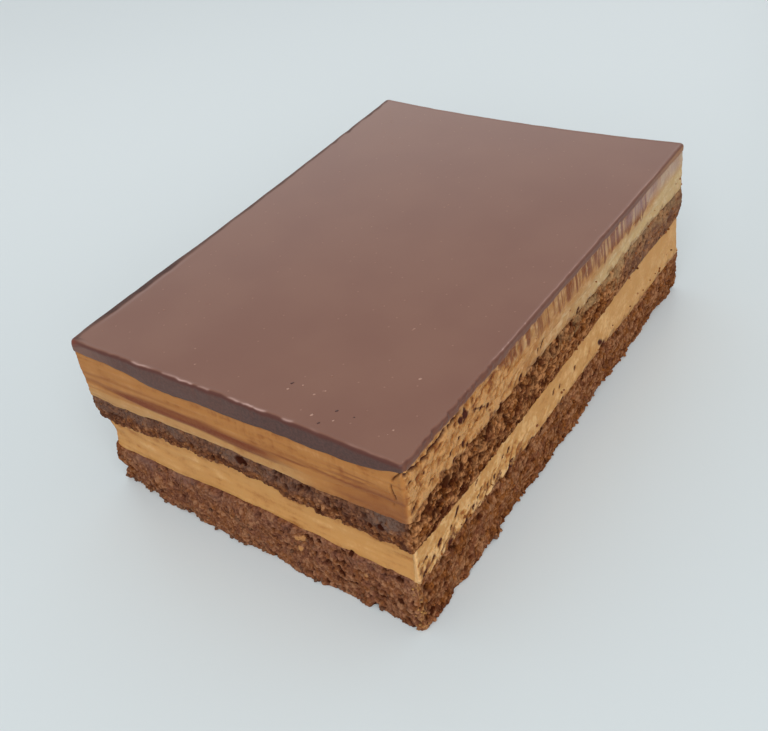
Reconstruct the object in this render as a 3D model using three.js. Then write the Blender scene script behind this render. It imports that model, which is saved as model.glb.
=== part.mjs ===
// Opera cake: a hand-cut bar of two chocolate sponges, coffee buttercream, a thin chocolate
// streak in the upper cream and a poured chocolate glaze. Every layer is a solid of its own
// and runs through the whole bar.
//
// Millimetres. +X is the right long side, +Y runs along the length to the back, +Z is up.
// The origin lies under the middle of the bar, on the surface that it stands on.

import * as THREE from 'three';

// ---- Driving dimensions ----

const WIDTH = 62.6; // along X, between the corners of the cut
const LENGTH = 90.4; // along Y, between the corners of the cut
const HEIGHT = 30.8; // up to the top of the glaze
const CORNER_RADIUS = 0.7;
const LAYER_GAP = 0.3; // clearance between one layer and the next

const BASE_SPONGE_TOP = 9.7;
const LOWER_CREAM_TOP = 15.4;
const MIDDLE_SPONGE_TOP = 22.4;
const FRONT_SAG = 2.4; // how much lower the middle sponge and the creams on it lie in front
const PALE_CREAM_THICKNESS = 1.9;
const STREAK_THICKNESS = 1.5;
const GLAZE_THICKNESS = 1.5;
const GLAZE_EXTRA_IN_FRONT = 1.4; // the glaze pooled thicker along the front
const GLAZE_EDGE_ROUNDING = 0.8;

// The knife didn't cut square: how far each corner stands off the plain rectangle in X and Y,
// under the glaze's top and on the plate.
const CORNER_SHIFTS = [
  { x: 1, y: -1, top: [-0.1, 0.7], bottom: [0.4, -1.3] }, // front right
  { x: 1, y: 1, top: [0.1, 0.6], bottom: [-0.1, -0.5] }, // back right
  { x: -1, y: 1, top: [-0.5, -0.9], bottom: [-0.3, -0.5] }, // back left
  { x: -1, y: -1, top: [0.3, 0.3], bottom: [-0.9, 0.7] }, // front left
];

// How far the middle of each side lies inside the straight line between its corners. The front
// bulges on the plate.
const FRONT_HOLLOW_TOP = 0.4;
const FRONT_HOLLOW_BOTTOM = -0.9;
const BACK_HOLLOW = 1.5;
const LEFT_HOLLOW = 0.4;

// A thick roll of glaze hangs out over the left side, near the front, between these places.
const LIP_FRONT_END = -44.5;
const LIP_BACK_END = -11;
const LIP_STAND = 0.55;

// How much higher each joint between layers lies along the front edge, at places along X.
const FRONT_PLACES = [-31, -29, -26, -20, -15, -10, -4, 3, 9, 16, 24, 31];
const BASE_SPONGE_RISE = [-1.6, -2.4, -1.8, -0.8, -0.3, 0.4, 0.75, 0.65, 0.6, 0.9, 0.5, 0];
const LOWER_CREAM_RISE = [-1.2, -1.1, -0.75, -0.2, 0.3, 1.2, 1.6, 1.2, 0.9, 0.6, 0.1, 0];
const MIDDLE_SPONGE_RISE = [-0.3, -0.3, -0.3, 0.3, 1.2, 1.3, 1.3, 1.25, 1, 0, -0.1, 0];
const PALE_CREAM_RISE = [0, 0, 0, 0.2, 0.4, 0.4, 0.4, 0.3, 0.1, 0, 0, 0];
const UPPER_CREAM_RISE = [0, 0.1, 0.25, 0.2, -0.3, -0.3, 0, 0.2, 0.3, 0.25, 0.4, 0];

// How far the front left corner is cut away at each height.
const LEFT_END_HEIGHTS = [0, 0.8, 2.5, 4.5, 5.2, 6.8, 8.8, 10, 11.9, 13.8, 14.9, 16.8, 19.8, 21.5, 25, 28.5];
const LEFT_END_SHIFTS = [0.5, 0.4, 1.3, 2.1, 1.1, 0.7, 1, 1.9, 2.6, 2.2, 0.4, 0.1, 0.2, 0.3, 0.4, 0.5];
const LEFT_END_REACH = 5;

// Moves the whole bar so that the origin lies under the middle of its outline.
const CENTRE_X = 0.29;
const CENTRE_Y = 0.28;

// ---- Resolution ----

const CORNER_STEPS = 3;
const SHORT_SIDE_STEPS = 28;
const LONG_SIDE_STEPS = 42;
const STATIONS_PER_CAP_POINT = 4; // a layer's flat has one inner point for so many edge points
const CAP_INSET = 5;

const HALF_X = WIDTH / 2;
const HALF_Y = LENGTH / 2;

// ---- Small maths ----

const clamp = (value, low, high) => Math.min(high, Math.max(low, value));

/** 0 before a, 1 after b and a smooth rise between; a may be the larger one. */
function smoothstep(a, b, value) {
  const t = clamp((value - a) / (b - a), 0, 1);
  return t * t * (3 - 2 * t);
}

/** 1 at middle, falling to nearly nothing beyond twice the half width. */
const bump = (value, middle, halfWidth) => Math.exp(-(((value - middle) / halfWidth) ** 2));

/** A value read off evenly spaced steps, at t from 0 to 1. */
function readProfile(steps, t) {
  const place = clamp(t, 0, 1) * (steps.length - 1);
  const index = Math.min(Math.floor(place), steps.length - 2);
  return THREE.MathUtils.lerp(steps[index], steps[index + 1], place - index);
}

/** A value read off at a place between rising places, straight from one to the next. */
function readTable(places, values, place) {
  const above = places.findIndex((each) => each > place);
  const upper = above < 0 ? places.length - 1 : Math.max(above, 1);
  const t = (place - places[upper - 1]) / (places[upper] - places[upper - 1]);
  return THREE.MathUtils.lerp(values[upper - 1], values[upper], clamp(t, 0, 1));
}

/** A repeatable number from -1 to 1 for a whole-numbered place in space. */
function latticeValue(ix, iy, iz, seed) {
  let hash = Math.imul(ix, 374761393) ^ Math.imul(iy, 668265263);
  hash = Math.imul(hash ^ Math.imul(iz, 1274126177) ^ Math.imul(seed, 974711), 1103515245);
  hash = Math.imul(hash ^ (hash >>> 15), 2246822519);
  return (((hash ^ (hash >>> 13)) >>> 0) / 4294967295) * 2 - 1;
}

/** Smooth noise from -1 to 1: lattice values blended over the eight corners of a cell. */
function noise(x, y, z, seed) {
  const ix = Math.floor(x);
  const iy = Math.floor(y);
  const iz = Math.floor(z);
  const fade = (t) => t * t * (3 - 2 * t);
  const wx = fade(x - ix);
  const wy = fade(y - iy);
  const wz = fade(z - iz);
  let sum = 0;
  for (let corner = 0; corner < 8; corner += 1) {
    const dx = corner & 1;
    const dy = (corner >> 1) & 1;
    const dz = corner >> 2;
    const weight = (dx ? wx : 1 - wx) * (dy ? wy : 1 - wy) * (dz ? wz : 1 - wz);
    sum += weight * latticeValue(ix + dx, iy + dy, iz + dz, seed);
  }
  return sum;
}

/** Crags of a torn crumb: coarse lumps with finer ones on them. */
function crags(x, y, z, seed) {
  const coarse = 5.2;
  const fine = 2.3;
  const lumps = noise(x / coarse, y / coarse, z / coarse, seed);
  return 0.6 * lumps + 0.6 * noise(x / fine, y / fine, z / fine, seed + 1);
}

// ---- Where the layers meet ----
// Each function gives the height of one joint between layers at a place in the bar.

const sagInFront = (y) => smoothstep(-37, -45.5, y);
const slowWave = (x, y, phase) => Math.sin(x * 0.21 + phase) * 0.6 + Math.sin(y * 0.17 - phase) * 0.6;

const frontRise = (rise, x, y) => readTable(FRONT_PLACES, rise, x) * sagInFront(y);

function baseSpongeTop(x, y) {
  const lowBackRight = 1.6 * smoothstep(12, 34, x) * smoothstep(24, 42, y);
  const level = BASE_SPONGE_TOP + 0.3 * slowWave(x, y, 0.4) - lowBackRight;
  return level + frontRise(BASE_SPONGE_RISE, x, y);
}

function lowerCreamTop(x, y) {
  const lowRight = 1.2 * smoothstep(20, 31, x) * bump(y, -15, 12);
  const level = LOWER_CREAM_TOP + 0.25 * slowWave(x, y, 1.9) - lowRight;
  return level + frontRise(LOWER_CREAM_RISE, x, y);
}

function middleSpongeLevel(x, y) {
  const sag = (FRONT_SAG - 0.025 * x) * sagInFront(y);
  return MIDDLE_SPONGE_TOP + 0.3 * slowWave(x, y, 3.1) - sag;
}

const middleSpongeTop = (x, y) => middleSpongeLevel(x, y) + frontRise(MIDDLE_SPONGE_RISE, x, y);

function paleCreamTop(x, y) {
  const thicker = smoothstep(14, 27, x) * sagInFront(y);
  const level = middleSpongeLevel(x, y) + PALE_CREAM_THICKNESS + thicker;
  return level + frontRise(PALE_CREAM_RISE, x, y);
}

const streakTop = (x, y) => paleCreamTop(x, y) + STREAK_THICKNESS;

function upperCreamTop(x, y) {
  const pinch = 1 - 0.9 * smoothstep(23, 31, x);
  const extra = GLAZE_EXTRA_IN_FRONT * smoothstep(-32, -12, x) * pinch * sagInFront(y);
  const thinOnRight = 0.45 * smoothstep(27, 31, x);
  const level = HEIGHT - GLAZE_THICKNESS + 0.12 * slowWave(x, y, 4.4);
  return level - extra + thinOnRight + frontRise(UPPER_CREAM_RISE, x, y);
}

const PLATE = () => 0;
const GLAZE_TOP = () => HEIGHT;

// ---- The cut outline ----

/**
 * Points round the plain rectangle with rounded corners, anticlockwise from the front right
 * corner. Each has its place and the direction that points out of the side there.
 */
function rectangleStations() {
  const stations = [];
  const reachX = HALF_X - CORNER_RADIUS;
  const reachY = HALF_Y - CORNER_RADIUS;
  const corners = [
    { x: reachX, y: -reachY, steps: LONG_SIDE_STEPS },
    { x: reachX, y: reachY, steps: SHORT_SIDE_STEPS },
    { x: -reachX, y: reachY, steps: LONG_SIDE_STEPS },
    { x: -reachX, y: -reachY, steps: SHORT_SIDE_STEPS },
  ];
  corners.forEach((corner, index) => {
    const next = corners[(index + 1) % corners.length];
    const startAngle = (index - 1) * (Math.PI / 2);
    for (let step = 0; step <= CORNER_STEPS; step += 1) {
      const angle = startAngle + (step / CORNER_STEPS) * (Math.PI / 2);
      const out = [Math.cos(angle), Math.sin(angle)];
      stations.push({ x: corner.x + CORNER_RADIUS * out[0], y: corner.y + CORNER_RADIUS * out[1], out });
    }
    const { out } = stations[stations.length - 1];
    for (let step = 1; step < corner.steps; step += 1) {
      const t = step / corner.steps;
      const x = THREE.MathUtils.lerp(corner.x, next.x, t) + CORNER_RADIUS * out[0];
      const y = THREE.MathUtils.lerp(corner.y, next.y, t) + CORNER_RADIUS * out[1];
      stations.push({ x, y, out });
    }
  });
  return stations;
}

/** Carries a point of the plain rectangle to its place in the crookedly cut bar. */
function bend(x, y, z) {
  const across = x / HALF_X;
  const along = y / HALF_Y;
  let bentX = x + CENTRE_X;
  let bentY = y + CENTRE_Y;
  for (const corner of CORNER_SHIFTS) {
    const weight = (0.5 + 0.5 * corner.x * across) * (0.5 + 0.5 * corner.y * along);
    bentX += weight * THREE.MathUtils.lerp(corner.bottom[0], corner.top[0], z / HEIGHT);
    bentY += weight * THREE.MathUtils.lerp(corner.bottom[1], corner.top[1], z / HEIGHT);
  }
  const middleX = 1 - across * across;
  const middleY = 1 - along * along;
  const frontHollow = THREE.MathUtils.lerp(FRONT_HOLLOW_BOTTOM, FRONT_HOLLOW_TOP, z / HEIGHT);
  bentY += frontHollow * middleX * (0.5 - 0.5 * along);
  bentY -= BACK_HOLLOW * middleX * (0.5 + 0.5 * along);
  bentX += LEFT_HOLLOW * middleY * (0.5 - 0.5 * across);
  return [bentX, bentY, z];
}

/** How torn a station's side is: 1 where the knife dragged, on the right and at the back, else 0. */
const tornness = ({ out }) => smoothstep(-0.35, 0.75, out[0] + out[1]);

/** The move to the right near the front left corner. */
function leftEnd({ x, y }, z) {
  const away = Math.hypot(x + HALF_X, y + HALF_Y);
  return readTable(LEFT_END_HEIGHTS, LEFT_END_SHIFTS, z) * bump(away, 0, LEFT_END_REACH);
}

// ---- Layers ----

const STATIONS = rectangleStations();
const COUNT = STATIONS.length;
const CAP_COUNT = COUNT / STATIONS_PER_CAP_POINT;

/** One ring of a layer's side: every station moved out by stand(station) at height(station). */
function sideRing(height, stand) {
  return STATIONS.map((station) => {
    const z = height(station);
    const move = stand(station, z);
    const x = station.x + station.out[0] * move + leftEnd(station, z);
    const y = station.y + station.out[1] * move;
    return bend(x, y, z);
  });
}

/** The few points inside a layer's flat that carry it across to the middle. */
function capRing(surface, lift) {
  const points = [];
  const shrinkX = 1 - CAP_INSET / HALF_X;
  const shrinkY = 1 - CAP_INSET / HALF_Y;
  for (let index = 0; index < CAP_COUNT; index += 1) {
    const station = STATIONS[index * STATIONS_PER_CAP_POINT];
    const x = station.x * shrinkX;
    const y = station.y * shrinkY;
    points.push(bend(x, y, surface(x, y) + lift));
  }
  points.push(bend(0, 0, surface(0, 0) + lift));
  return points;
}

/** Triangles of a flat that faces up, from the edge ring to the inner points and the middle. */
function capFaces(edgeStart, innerStart) {
  const faces = [];
  const half = STATIONS_PER_CAP_POINT / 2;
  const edge = (index) => edgeStart + ((index + COUNT) % COUNT);
  const middle = innerStart + CAP_COUNT;
  for (let index = 0; index < CAP_COUNT; index += 1) {
    const here = innerStart + index;
    const next = innerStart + ((index + 1) % CAP_COUNT);
    const station = index * STATIONS_PER_CAP_POINT;
    for (let step = -half; step < half; step += 1) {
      faces.push([edge(station + step), edge(station + step + 1), here]);
    }
    faces.push([here, edge(station + half), next], [here, next, middle]);
  }
  return faces;
}

/** Triangles between one ring and the ring above it, facing out, their diagonals taking turns. */
function bandFaces(lowerStart, upperStart) {
  const faces = [];
  const row = lowerStart / COUNT;
  for (let index = 0; index < COUNT; index += 1) {
    const next = (index + 1) % COUNT;
    const [a, b, c, d] = [lowerStart + index, lowerStart + next, upperStart + next, upperStart + index];
    if ((index + row) % 2 === 0) {
      faces.push([a, b, c], [a, c, d]);
    } else {
      faces.push([a, b, d], [b, c, d]);
    }
  }
  return faces;
}

/** A closed body from rings stacked upwards and the points inside its two flats. */
function stackedBody(rings, lowerCap, upperCap) {
  const points = [...rings.flat(), ...lowerCap, ...upperCap];
  const lowerStart = rings.length * COUNT;
  const upperStart = lowerStart + lowerCap.length;
  const faces = capFaces(0, lowerStart).map(([a, b, c]) => [a, c, b]);
  for (let row = 1; row < rings.length; row += 1) {
    faces.push(...bandFaces((row - 1) * COUNT, row * COUNT));
  }
  faces.push(...capFaces((rings.length - 1) * COUNT, upperStart));
  const geometry = new THREE.BufferGeometry();
  geometry.setAttribute('position', new THREE.Float32BufferAttribute(points.flat(), 3));
  geometry.setIndex(faces.flat());
  geometry.computeVertexNormals();
  return geometry;
}

/**
 * One layer between two joints. profile is how far the side stands out of the cut, from its
 * lower to its upper edge, and tornProfile the same on the torn sides. relief is how deep its
 * crags are, and rows how many bands it has.
 */
function layerGeometry({ lower, upper, rows, profile, tornProfile = profile, relief, seed }) {
  const onPlate = lower === PLATE;
  const onTop = upper === GLAZE_TOP;
  const lift = onPlate ? 0 : LAYER_GAP / 2;
  const drop = onTop ? 0 : LAYER_GAP / 2;
  const rings = [];
  for (let row = 0; row <= rows; row += 1) {
    const t = row / rows;
    const joint = (row === 0 && !onPlate) || (row === rows && !onTop);
    const height = ({ x, y }) => THREE.MathUtils.lerp(lower(x, y) + lift, upper(x, y) - drop, t);
    const stand = (station, z) => {
      const steady = readProfile(profile, t);
      const standing = THREE.MathUtils.lerp(steady, readProfile(tornProfile, t), tornness(station));
      return joint ? 0 : standing + relief * crags(station.x, station.y, z, seed);
    };
    rings.push(sideRing(height, stand));
  }
  return stackedBody(rings, capRing(lower, lift), capRing(upper, -drop));
}

/** The glaze: a side with a rolled lip on the left and a rounded edge into the level top. */
function glazeGeometry() {
  const lip = ({ x, y }) => {
    const grown = smoothstep(LIP_FRONT_END, LIP_FRONT_END + 6, y);
    const fading = smoothstep(LIP_BACK_END, LIP_BACK_END - 13, y);
    return LIP_STAND * smoothstep(-29, -31, x) * grown * fading;
  };
  const bottom = ({ x, y }) => upperCreamTop(x, y) + LAYER_GAP / 2;
  const rings = [sideRing(bottom, () => 0)];
  const rows = 3;
  for (let row = 0; row <= rows; row += 1) {
    const angle = (row / rows) * (Math.PI / 2);
    const inset = GLAZE_EDGE_ROUNDING * (1 - Math.cos(angle));
    const below = GLAZE_EDGE_ROUNDING * (1 - Math.sin(angle));
    const height = (station) => Math.max(HEIGHT - below, bottom(station) + 0.1 * (row + 1));
    rings.push(sideRing(height, (station) => 0.15 + lip(station) - inset));
  }
  return stackedBody(rings, capRing(upperCreamTop, LAYER_GAP / 2), capRing(GLAZE_TOP, 0));
}

// ---- Materials ----

const spongeBrown = { color: 0x5b3a28, roughness: 0.95, metalness: 0 };
const baseBrown = { color: 0x6a4330, roughness: 0.95, metalness: 0 };
const creamTan = { color: 0xc79a62, roughness: 0.6, metalness: 0 };
const streakBrown = { color: 0x855538, roughness: 0.6, metalness: 0 };
const glazeDark = { color: 0x50352f, roughness: 0.25, metalness: 0 };

// ---- The bar, from the plate up ----

const LAYERS = [
  {
    name: 'base_sponge', lower: PLATE, upper: baseSpongeTop, rows: 8,
    profile: [0.2, 0.4, 0.4, 0.2], relief: 0.9, seed: 11, finish: baseBrown,
  },
  {
    name: 'lower_cream', lower: baseSpongeTop, upper: lowerCreamTop, rows: 4,
    profile: [-0.3, -0.7, -0.8], tornProfile: [0.35, 0, -0.6], relief: 0.12, seed: 23, finish: creamTan,
  },
  {
    name: 'middle_sponge', lower: lowerCreamTop, upper: middleSpongeTop, rows: 6,
    profile: [0.1, 0.3, 0.3, 0.1], relief: 0.75, seed: 37, finish: spongeBrown,
  },
  {
    name: 'pale_cream', lower: middleSpongeTop, upper: paleCreamTop, rows: 2,
    profile: [0.1, 0.1, 0], relief: 0.1, seed: 41, finish: creamTan,
  },
  {
    name: 'chocolate_streak', lower: paleCreamTop, upper: streakTop, rows: 2,
    profile: [0, 0.05, 0], relief: 0.05, seed: 53, finish: streakBrown,
  },
  {
    name: 'upper_cream', lower: streakTop, upper: upperCreamTop, rows: 4,
    profile: [0, 0.05, 0], relief: 0.12, seed: 61, finish: creamTan,
  },
];

function makeMesh(name, geometry, finish) {
  const mesh = new THREE.Mesh(geometry, new THREE.MeshStandardMaterial(finish));
  mesh.name = name;
  return mesh;
}

const operaCake = new THREE.Group();
for (const layer of LAYERS) {
  operaCake.add(makeMesh(layer.name, layerGeometry(layer), layer.finish));
}
operaCake.add(makeMesh('glaze', glazeGeometry(), glazeDark));

export default operaCake;
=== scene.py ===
"""Opera cake: a hand-cut bar of chocolate sponges, coffee creams and a chocolate glaze.

Each layer is a closed mesh worked out with numpy on a grid that runs round the bar and up its
side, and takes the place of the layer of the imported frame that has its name. Shapes are worked
out in millimetres and put into the meshes in metres. +X is the right long side, +Y runs to the
back and +Z is up.
"""

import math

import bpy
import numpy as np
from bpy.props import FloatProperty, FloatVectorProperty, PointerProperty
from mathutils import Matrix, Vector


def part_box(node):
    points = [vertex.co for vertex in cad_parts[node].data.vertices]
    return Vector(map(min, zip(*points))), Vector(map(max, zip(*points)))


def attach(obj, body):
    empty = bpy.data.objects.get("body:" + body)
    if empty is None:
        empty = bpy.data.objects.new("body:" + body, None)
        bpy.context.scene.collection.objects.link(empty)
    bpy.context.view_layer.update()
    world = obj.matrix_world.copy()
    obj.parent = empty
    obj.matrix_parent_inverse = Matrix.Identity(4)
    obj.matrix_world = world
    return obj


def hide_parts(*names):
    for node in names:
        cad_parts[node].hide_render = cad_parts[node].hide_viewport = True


bl_info = {
    "name": "Opera cake",
    "version": (1, 0, 0),
    "blender": (4, 5, 0),
    "location": "3D View > Sidebar > Opera Cake",
    "description": "Makes a cut bar of opera cake with its sponges, creams and glaze",
    "category": "Add Mesh",
}

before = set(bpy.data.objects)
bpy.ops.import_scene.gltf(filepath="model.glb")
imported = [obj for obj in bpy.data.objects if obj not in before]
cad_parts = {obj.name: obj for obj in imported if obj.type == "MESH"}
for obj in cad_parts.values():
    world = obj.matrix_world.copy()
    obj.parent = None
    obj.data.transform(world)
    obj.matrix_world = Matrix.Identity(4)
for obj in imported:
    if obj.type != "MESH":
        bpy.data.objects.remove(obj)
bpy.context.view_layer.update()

MM = 0.001

# ---- The bar, in millimetres ----

WIDTH = 62.6  # along X, between the corners of the cut
LENGTH = 90.4  # along Y, between the corners of the cut
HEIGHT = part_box("glaze")[1].z / MM
CORNER_RADIUS = 0.7

BASE_SPONGE_TOP = 9.7
LOWER_CREAM_TOP = 15.4
MIDDLE_SPONGE_TOP = 22.4
FRONT_SAG = 2.4  # how much lower the middle sponge and the creams on it lie in front
PALE_CREAM_THICKNESS = 1.9
STREAK_THICKNESS = 1.5
GLAZE_THICKNESS = 1.5
GLAZE_EXTRA_IN_FRONT = 1.4

# How far each corner stands off the plain rectangle, under the glaze's top and on the plate.
CORNER_SHIFTS = (
    {"x": 1, "y": -1, "top": (-0.1, 0.7), "bottom": (0.4, -1.3)},
    {"x": 1, "y": 1, "top": (0.1, 0.6), "bottom": (-0.1, -0.5)},
    {"x": -1, "y": 1, "top": (-0.5, -0.9), "bottom": (-0.3, -0.5)},
    {"x": -1, "y": -1, "top": (0.3, 0.3), "bottom": (-0.9, 0.7)},
)
# How far the middle of a side lies inside the line between its corners; the front bulges on the plate.
FRONT_HOLLOW_TOP = 0.4
FRONT_HOLLOW_BOTTOM = -0.9
BACK_HOLLOW = 1.5
LEFT_HOLLOW = 0.4
CENTRE_X = 0.29  # brings the middle of the outline over the origin
CENTRE_Y = 0.28

LIP_STAND = 0.55  # how far the roll of glaze hangs out over the left side

# ---- Fineness of the meshes ----

RIGHT_STEPS = 560
BACK_STEPS = 260
LEFT_STEPS = 310
FRONT_STEPS = 390
CORNER_STEPS = 8
LEDGE_INSETS = (6.0, 3.2, 1.9, 1.1, 0.5)  # rows on a layer's flat, inwards from its edge
ROUNDING_ROWS = 3
LAYER_OVERLAP = 0.12  # how far a layer sinks into the one below, so that no gap shows


# ---- Small maths on whole arrays ----


def smoothstep(a, b, value):
    """0 before a, 1 after b and 3tt - 2ttt between, where t is the share of the way; a may be larger."""
    t = np.clip((value - a) / (b - a), 0, 1)
    return t * t * (3 - 2 * t)


def bump(value, middle, half_width):
    """1 at middle, falling off as e to the minus the square of the distance in half widths."""
    return np.exp(-(((value - middle) / half_width) ** 2))


def mix(a, b, share):
    """a where share is 0, b where it is 1 and the straight line between."""
    return a + (b - a) * share


def scramble(ix, iy, iz, seed):
    """A repeatable 32-bit number for each whole-numbered place: products and shifts, folded together."""
    ix, iy, iz = (np.asarray(i, np.int64).astype(np.uint32) for i in (ix, iy, iz))
    with np.errstate(over="ignore"):
        value = (ix * np.uint32(374761393)) ^ (iy * np.uint32(668265263))
        salt = np.uint32(seed * 974711 & 0xFFFFFFFF)
        value = (value ^ (iz * np.uint32(1274126177)) ^ salt) * np.uint32(1103515245)
        value = (value ^ (value >> np.uint32(15))) * np.uint32(2246822519)
    return value ^ (value >> np.uint32(13))


def noise(x, y, z, seed):
    """Smooth noise from -1 to 1: the scrambled numbers at a cell's eight corners, blended smoothly."""
    x, y, z = np.broadcast_arrays(x, y, z)
    cell = [np.floor(v) for v in (x, y, z)]
    inside = [v - c for v, c in zip((x, y, z), cell)]
    fade = [t * t * (3 - 2 * t) for t in inside]
    total = np.zeros(x.shape)
    for corner in range(8):
        step = (corner & 1, (corner >> 1) & 1, corner >> 2)
        weight = np.ones(x.shape)
        for share, side in zip(fade, step):
            weight = weight * (share if side else 1 - share)
        value = scramble(cell[0] + step[0], cell[1] + step[1], cell[2] + step[2], seed)
        total += weight * (value / 4294967295 * 2 - 1)
    return total


def crags(x, y, z, seed):
    """Crags of a torn crumb: noise with cells of 5.2 mm and noise with cells of 2.3 mm on it."""
    lumps = noise(x / 5.2, y / 5.2, z / 5.2, seed)
    return 0.6 * lumps + 0.6 * noise(x / 2.3, y / 2.3, z / 2.3, seed + 1)


def grains(x, y, z, size, seed):
    """Grains packed at random, one to a cell of the given size.

    Returns the distance in cells to the nearest grain's middle, how much further the next grain's
    middle is, and the nearest grain's own number from 0 to 1. The middles are scrambled places,
    one in each of the 27 cells round a point.
    """
    place = [v / size for v in np.broadcast_arrays(x, y, z)]
    cell = [np.floor(v) for v in place]
    nearest = np.full(place[0].shape, 9.0)
    second = nearest.copy()
    tone = np.zeros(place[0].shape)
    for neighbour in range(27):
        step = (neighbour % 3 - 1, neighbour // 3 % 3 - 1, neighbour // 9 - 1)
        home = [c + s for c, s in zip(cell, step)]
        value = scramble(*home, seed)
        square = np.zeros(nearest.shape)
        for axis in range(3):
            part = ((value >> np.uint32(10 * axis)) & np.uint32(1023)) / 1023
            square += (home[axis] + part - place[axis]) ** 2
        closer = square < nearest
        second = np.where(closer, nearest, np.minimum(second, square))
        nearest = np.where(closer, square, nearest)
        tone = np.where(closer, (value >> np.uint32(7) & np.uint32(255)) / 255, tone)
    nearest = np.sqrt(nearest)
    return nearest, np.sqrt(second) - nearest, tone


# ---- Sizes and colours that a user would change ----


def length(name, description, millimetres):
    """A property for a length, kept in metres and given here in millimetres."""
    return FloatProperty(
        name=name, description=description, default=millimetres * MM, min=0, unit="LENGTH", precision=4
    )


def screen_colour(red, green, blue):
    """The scene's linear values of a colour given as it shows on a screen, from 0 to 255."""
    steps = [value / 255 for value in (red, green, blue)]
    return [s / 12.92 if s <= 0.04045 else ((s + 0.055) / 1.055) ** 2.4 for s in steps]


def colour(name, description, red, green, blue):
    """A property for a colour, given as it shows on a screen."""
    return FloatVectorProperty(
        name=name,
        description=description,
        default=screen_colour(red, green, blue),
        min=0,
        max=1,
        subtype="COLOR",
    )


class BarSizes(bpy.types.PropertyGroup):
    """The bar's driving sizes."""

    width: length("Width", "Short side of the cut, between its corners", WIDTH)
    length: length("Length", "Long side of the cut, between its corners", LENGTH)
    height: length("Height", "From the plate to the top of the glaze", HEIGHT)
    corner_radius: length("Corner radius", "Rounding of the upright edges", CORNER_RADIUS)
    base_sponge_top: length("Base sponge top", "Height of the base sponge", BASE_SPONGE_TOP)
    lower_cream_top: length("Lower cream top", "Height of the lower cream's top", LOWER_CREAM_TOP)
    middle_sponge_top: length("Middle sponge top", "Height of the middle sponge's top", MIDDLE_SPONGE_TOP)
    front_sag: length("Front sag", "How much lower the upper layers lie in front", FRONT_SAG)
    pale_cream: length("Pale cream", "Thickness of the cream under the streak", PALE_CREAM_THICKNESS)
    streak: length("Streak", "Thickness of the chocolate streak", STREAK_THICKNESS)
    glaze: length("Glaze", "Thickness of the glaze", GLAZE_THICKNESS)
    glaze_extra: length("Glaze in front", "How much thicker the glaze is in front", GLAZE_EXTRA_IN_FRONT)


class BarColours(bpy.types.PropertyGroup):
    """The colours of the bar's layers."""

    base_crumb: colour("Base crumb", "Crumb of the base sponge", 134, 81, 46)
    middle_crumb: colour("Middle crumb", "Crumb of the middle sponge", 132, 78, 40)
    lower_cream: colour("Lower cream", "Coffee cream between the sponges", 192, 139, 79)
    pale_cream: colour("Pale cream", "The palest coffee cream, on the middle sponge", 190, 155, 106)
    upper_cream: colour("Upper cream", "Coffee cream under the glaze", 171, 114, 58)
    chocolate: colour("Chocolate", "Chocolate streaked and dragged through the cream", 113, 54, 27)
    glaze: colour("Glaze", "The poured glaze", 132, 90, 73)
    glaze_cut: colour("Cut glaze", "The glaze where the knife cut it", 76, 46, 38)
    floor: colour("Floor", "The surface that the bar stands on", 223, 230, 231)


# ---- The cut outline and where the layers meet ----


# How much higher each joint lies along the front edge, at places along X.
FRONT_PLACES = (-31, -30, -29, -26, -20, -15, -10, -4, 3, 9, 16, 24, 31)
BASE_SPONGE_RISE = (-0.4, -1.3, -1.5, -1.2, -0.7, -0.3, 0.4, 0.75, 0.5, 0.4, 0.7, 0.4, 0)
LOWER_CREAM_RISE = (-1.2, -1.3, -1.3, -0.75, 0.2, 0.4, 0.8, 1.2, 0.8, 0.7, 0.35, -0.1, 0)
MIDDLE_SPONGE_RISE = (0, 0, 0, 0, 0.1, 0.5, 0.3, 0.5, 0.3, 0.3, -0.4, -0.4, 0)
PALE_CREAM_RISE = (0, 0, 0, 0.1, 0.1, -0.1, -0.2, -0.3, -0.4, -0.4, -0.4, -0.3, 0)
UPPER_CREAM_RISE = (-0.4, -0.4, -0.3, -0.2, -0.2, -0.8, -0.8, -0.35, -0.4, -0.15, -0.2, 0.2, 0)
# And along the right edge, at places along Y.
RIGHT_PLACES = (-44, -36, -28, -18, -14, -6, 4, 14, 24, 34, 42)
BASE_SPONGE_RISE_RIGHT = (0, 0, -0.2, -0.5, -0.4, 0, -0.2, -0.6, -0.6, -0.5, -1.1)
LOWER_CREAM_RISE_RIGHT = (-0.3, -0.5, -0.8, -0.75, -0.8, -0.65, -0.1, 0.1, 0.7, 0.8, 0.8)


def sag_in_front(y):
    """How fully the layers sag: 1 at the front, 0 from 8 mm behind it on and a smooth step between."""
    return smoothstep(-37, -45.5, y)


def front_rise(rise, x, y):
    """A joint's rise along the front edge, straight between its places and gone 8 mm behind the front."""
    return np.interp(x, FRONT_PLACES, rise) * sag_in_front(y)


def right_rise(rise, x, y):
    """A joint's rise along the right edge, straight between its places and gone 17 mm inside it."""
    return np.interp(y, RIGHT_PLACES, rise) * smoothstep(14, 31, x)


def slow_wave(x, y, phase):
    """A gentle swell: the sum of one sine along X and one along Y, each 0.6 high."""
    return np.sin(x * 0.21 + phase) * 0.6 + np.sin(y * 0.17 - phase) * 0.6


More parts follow.
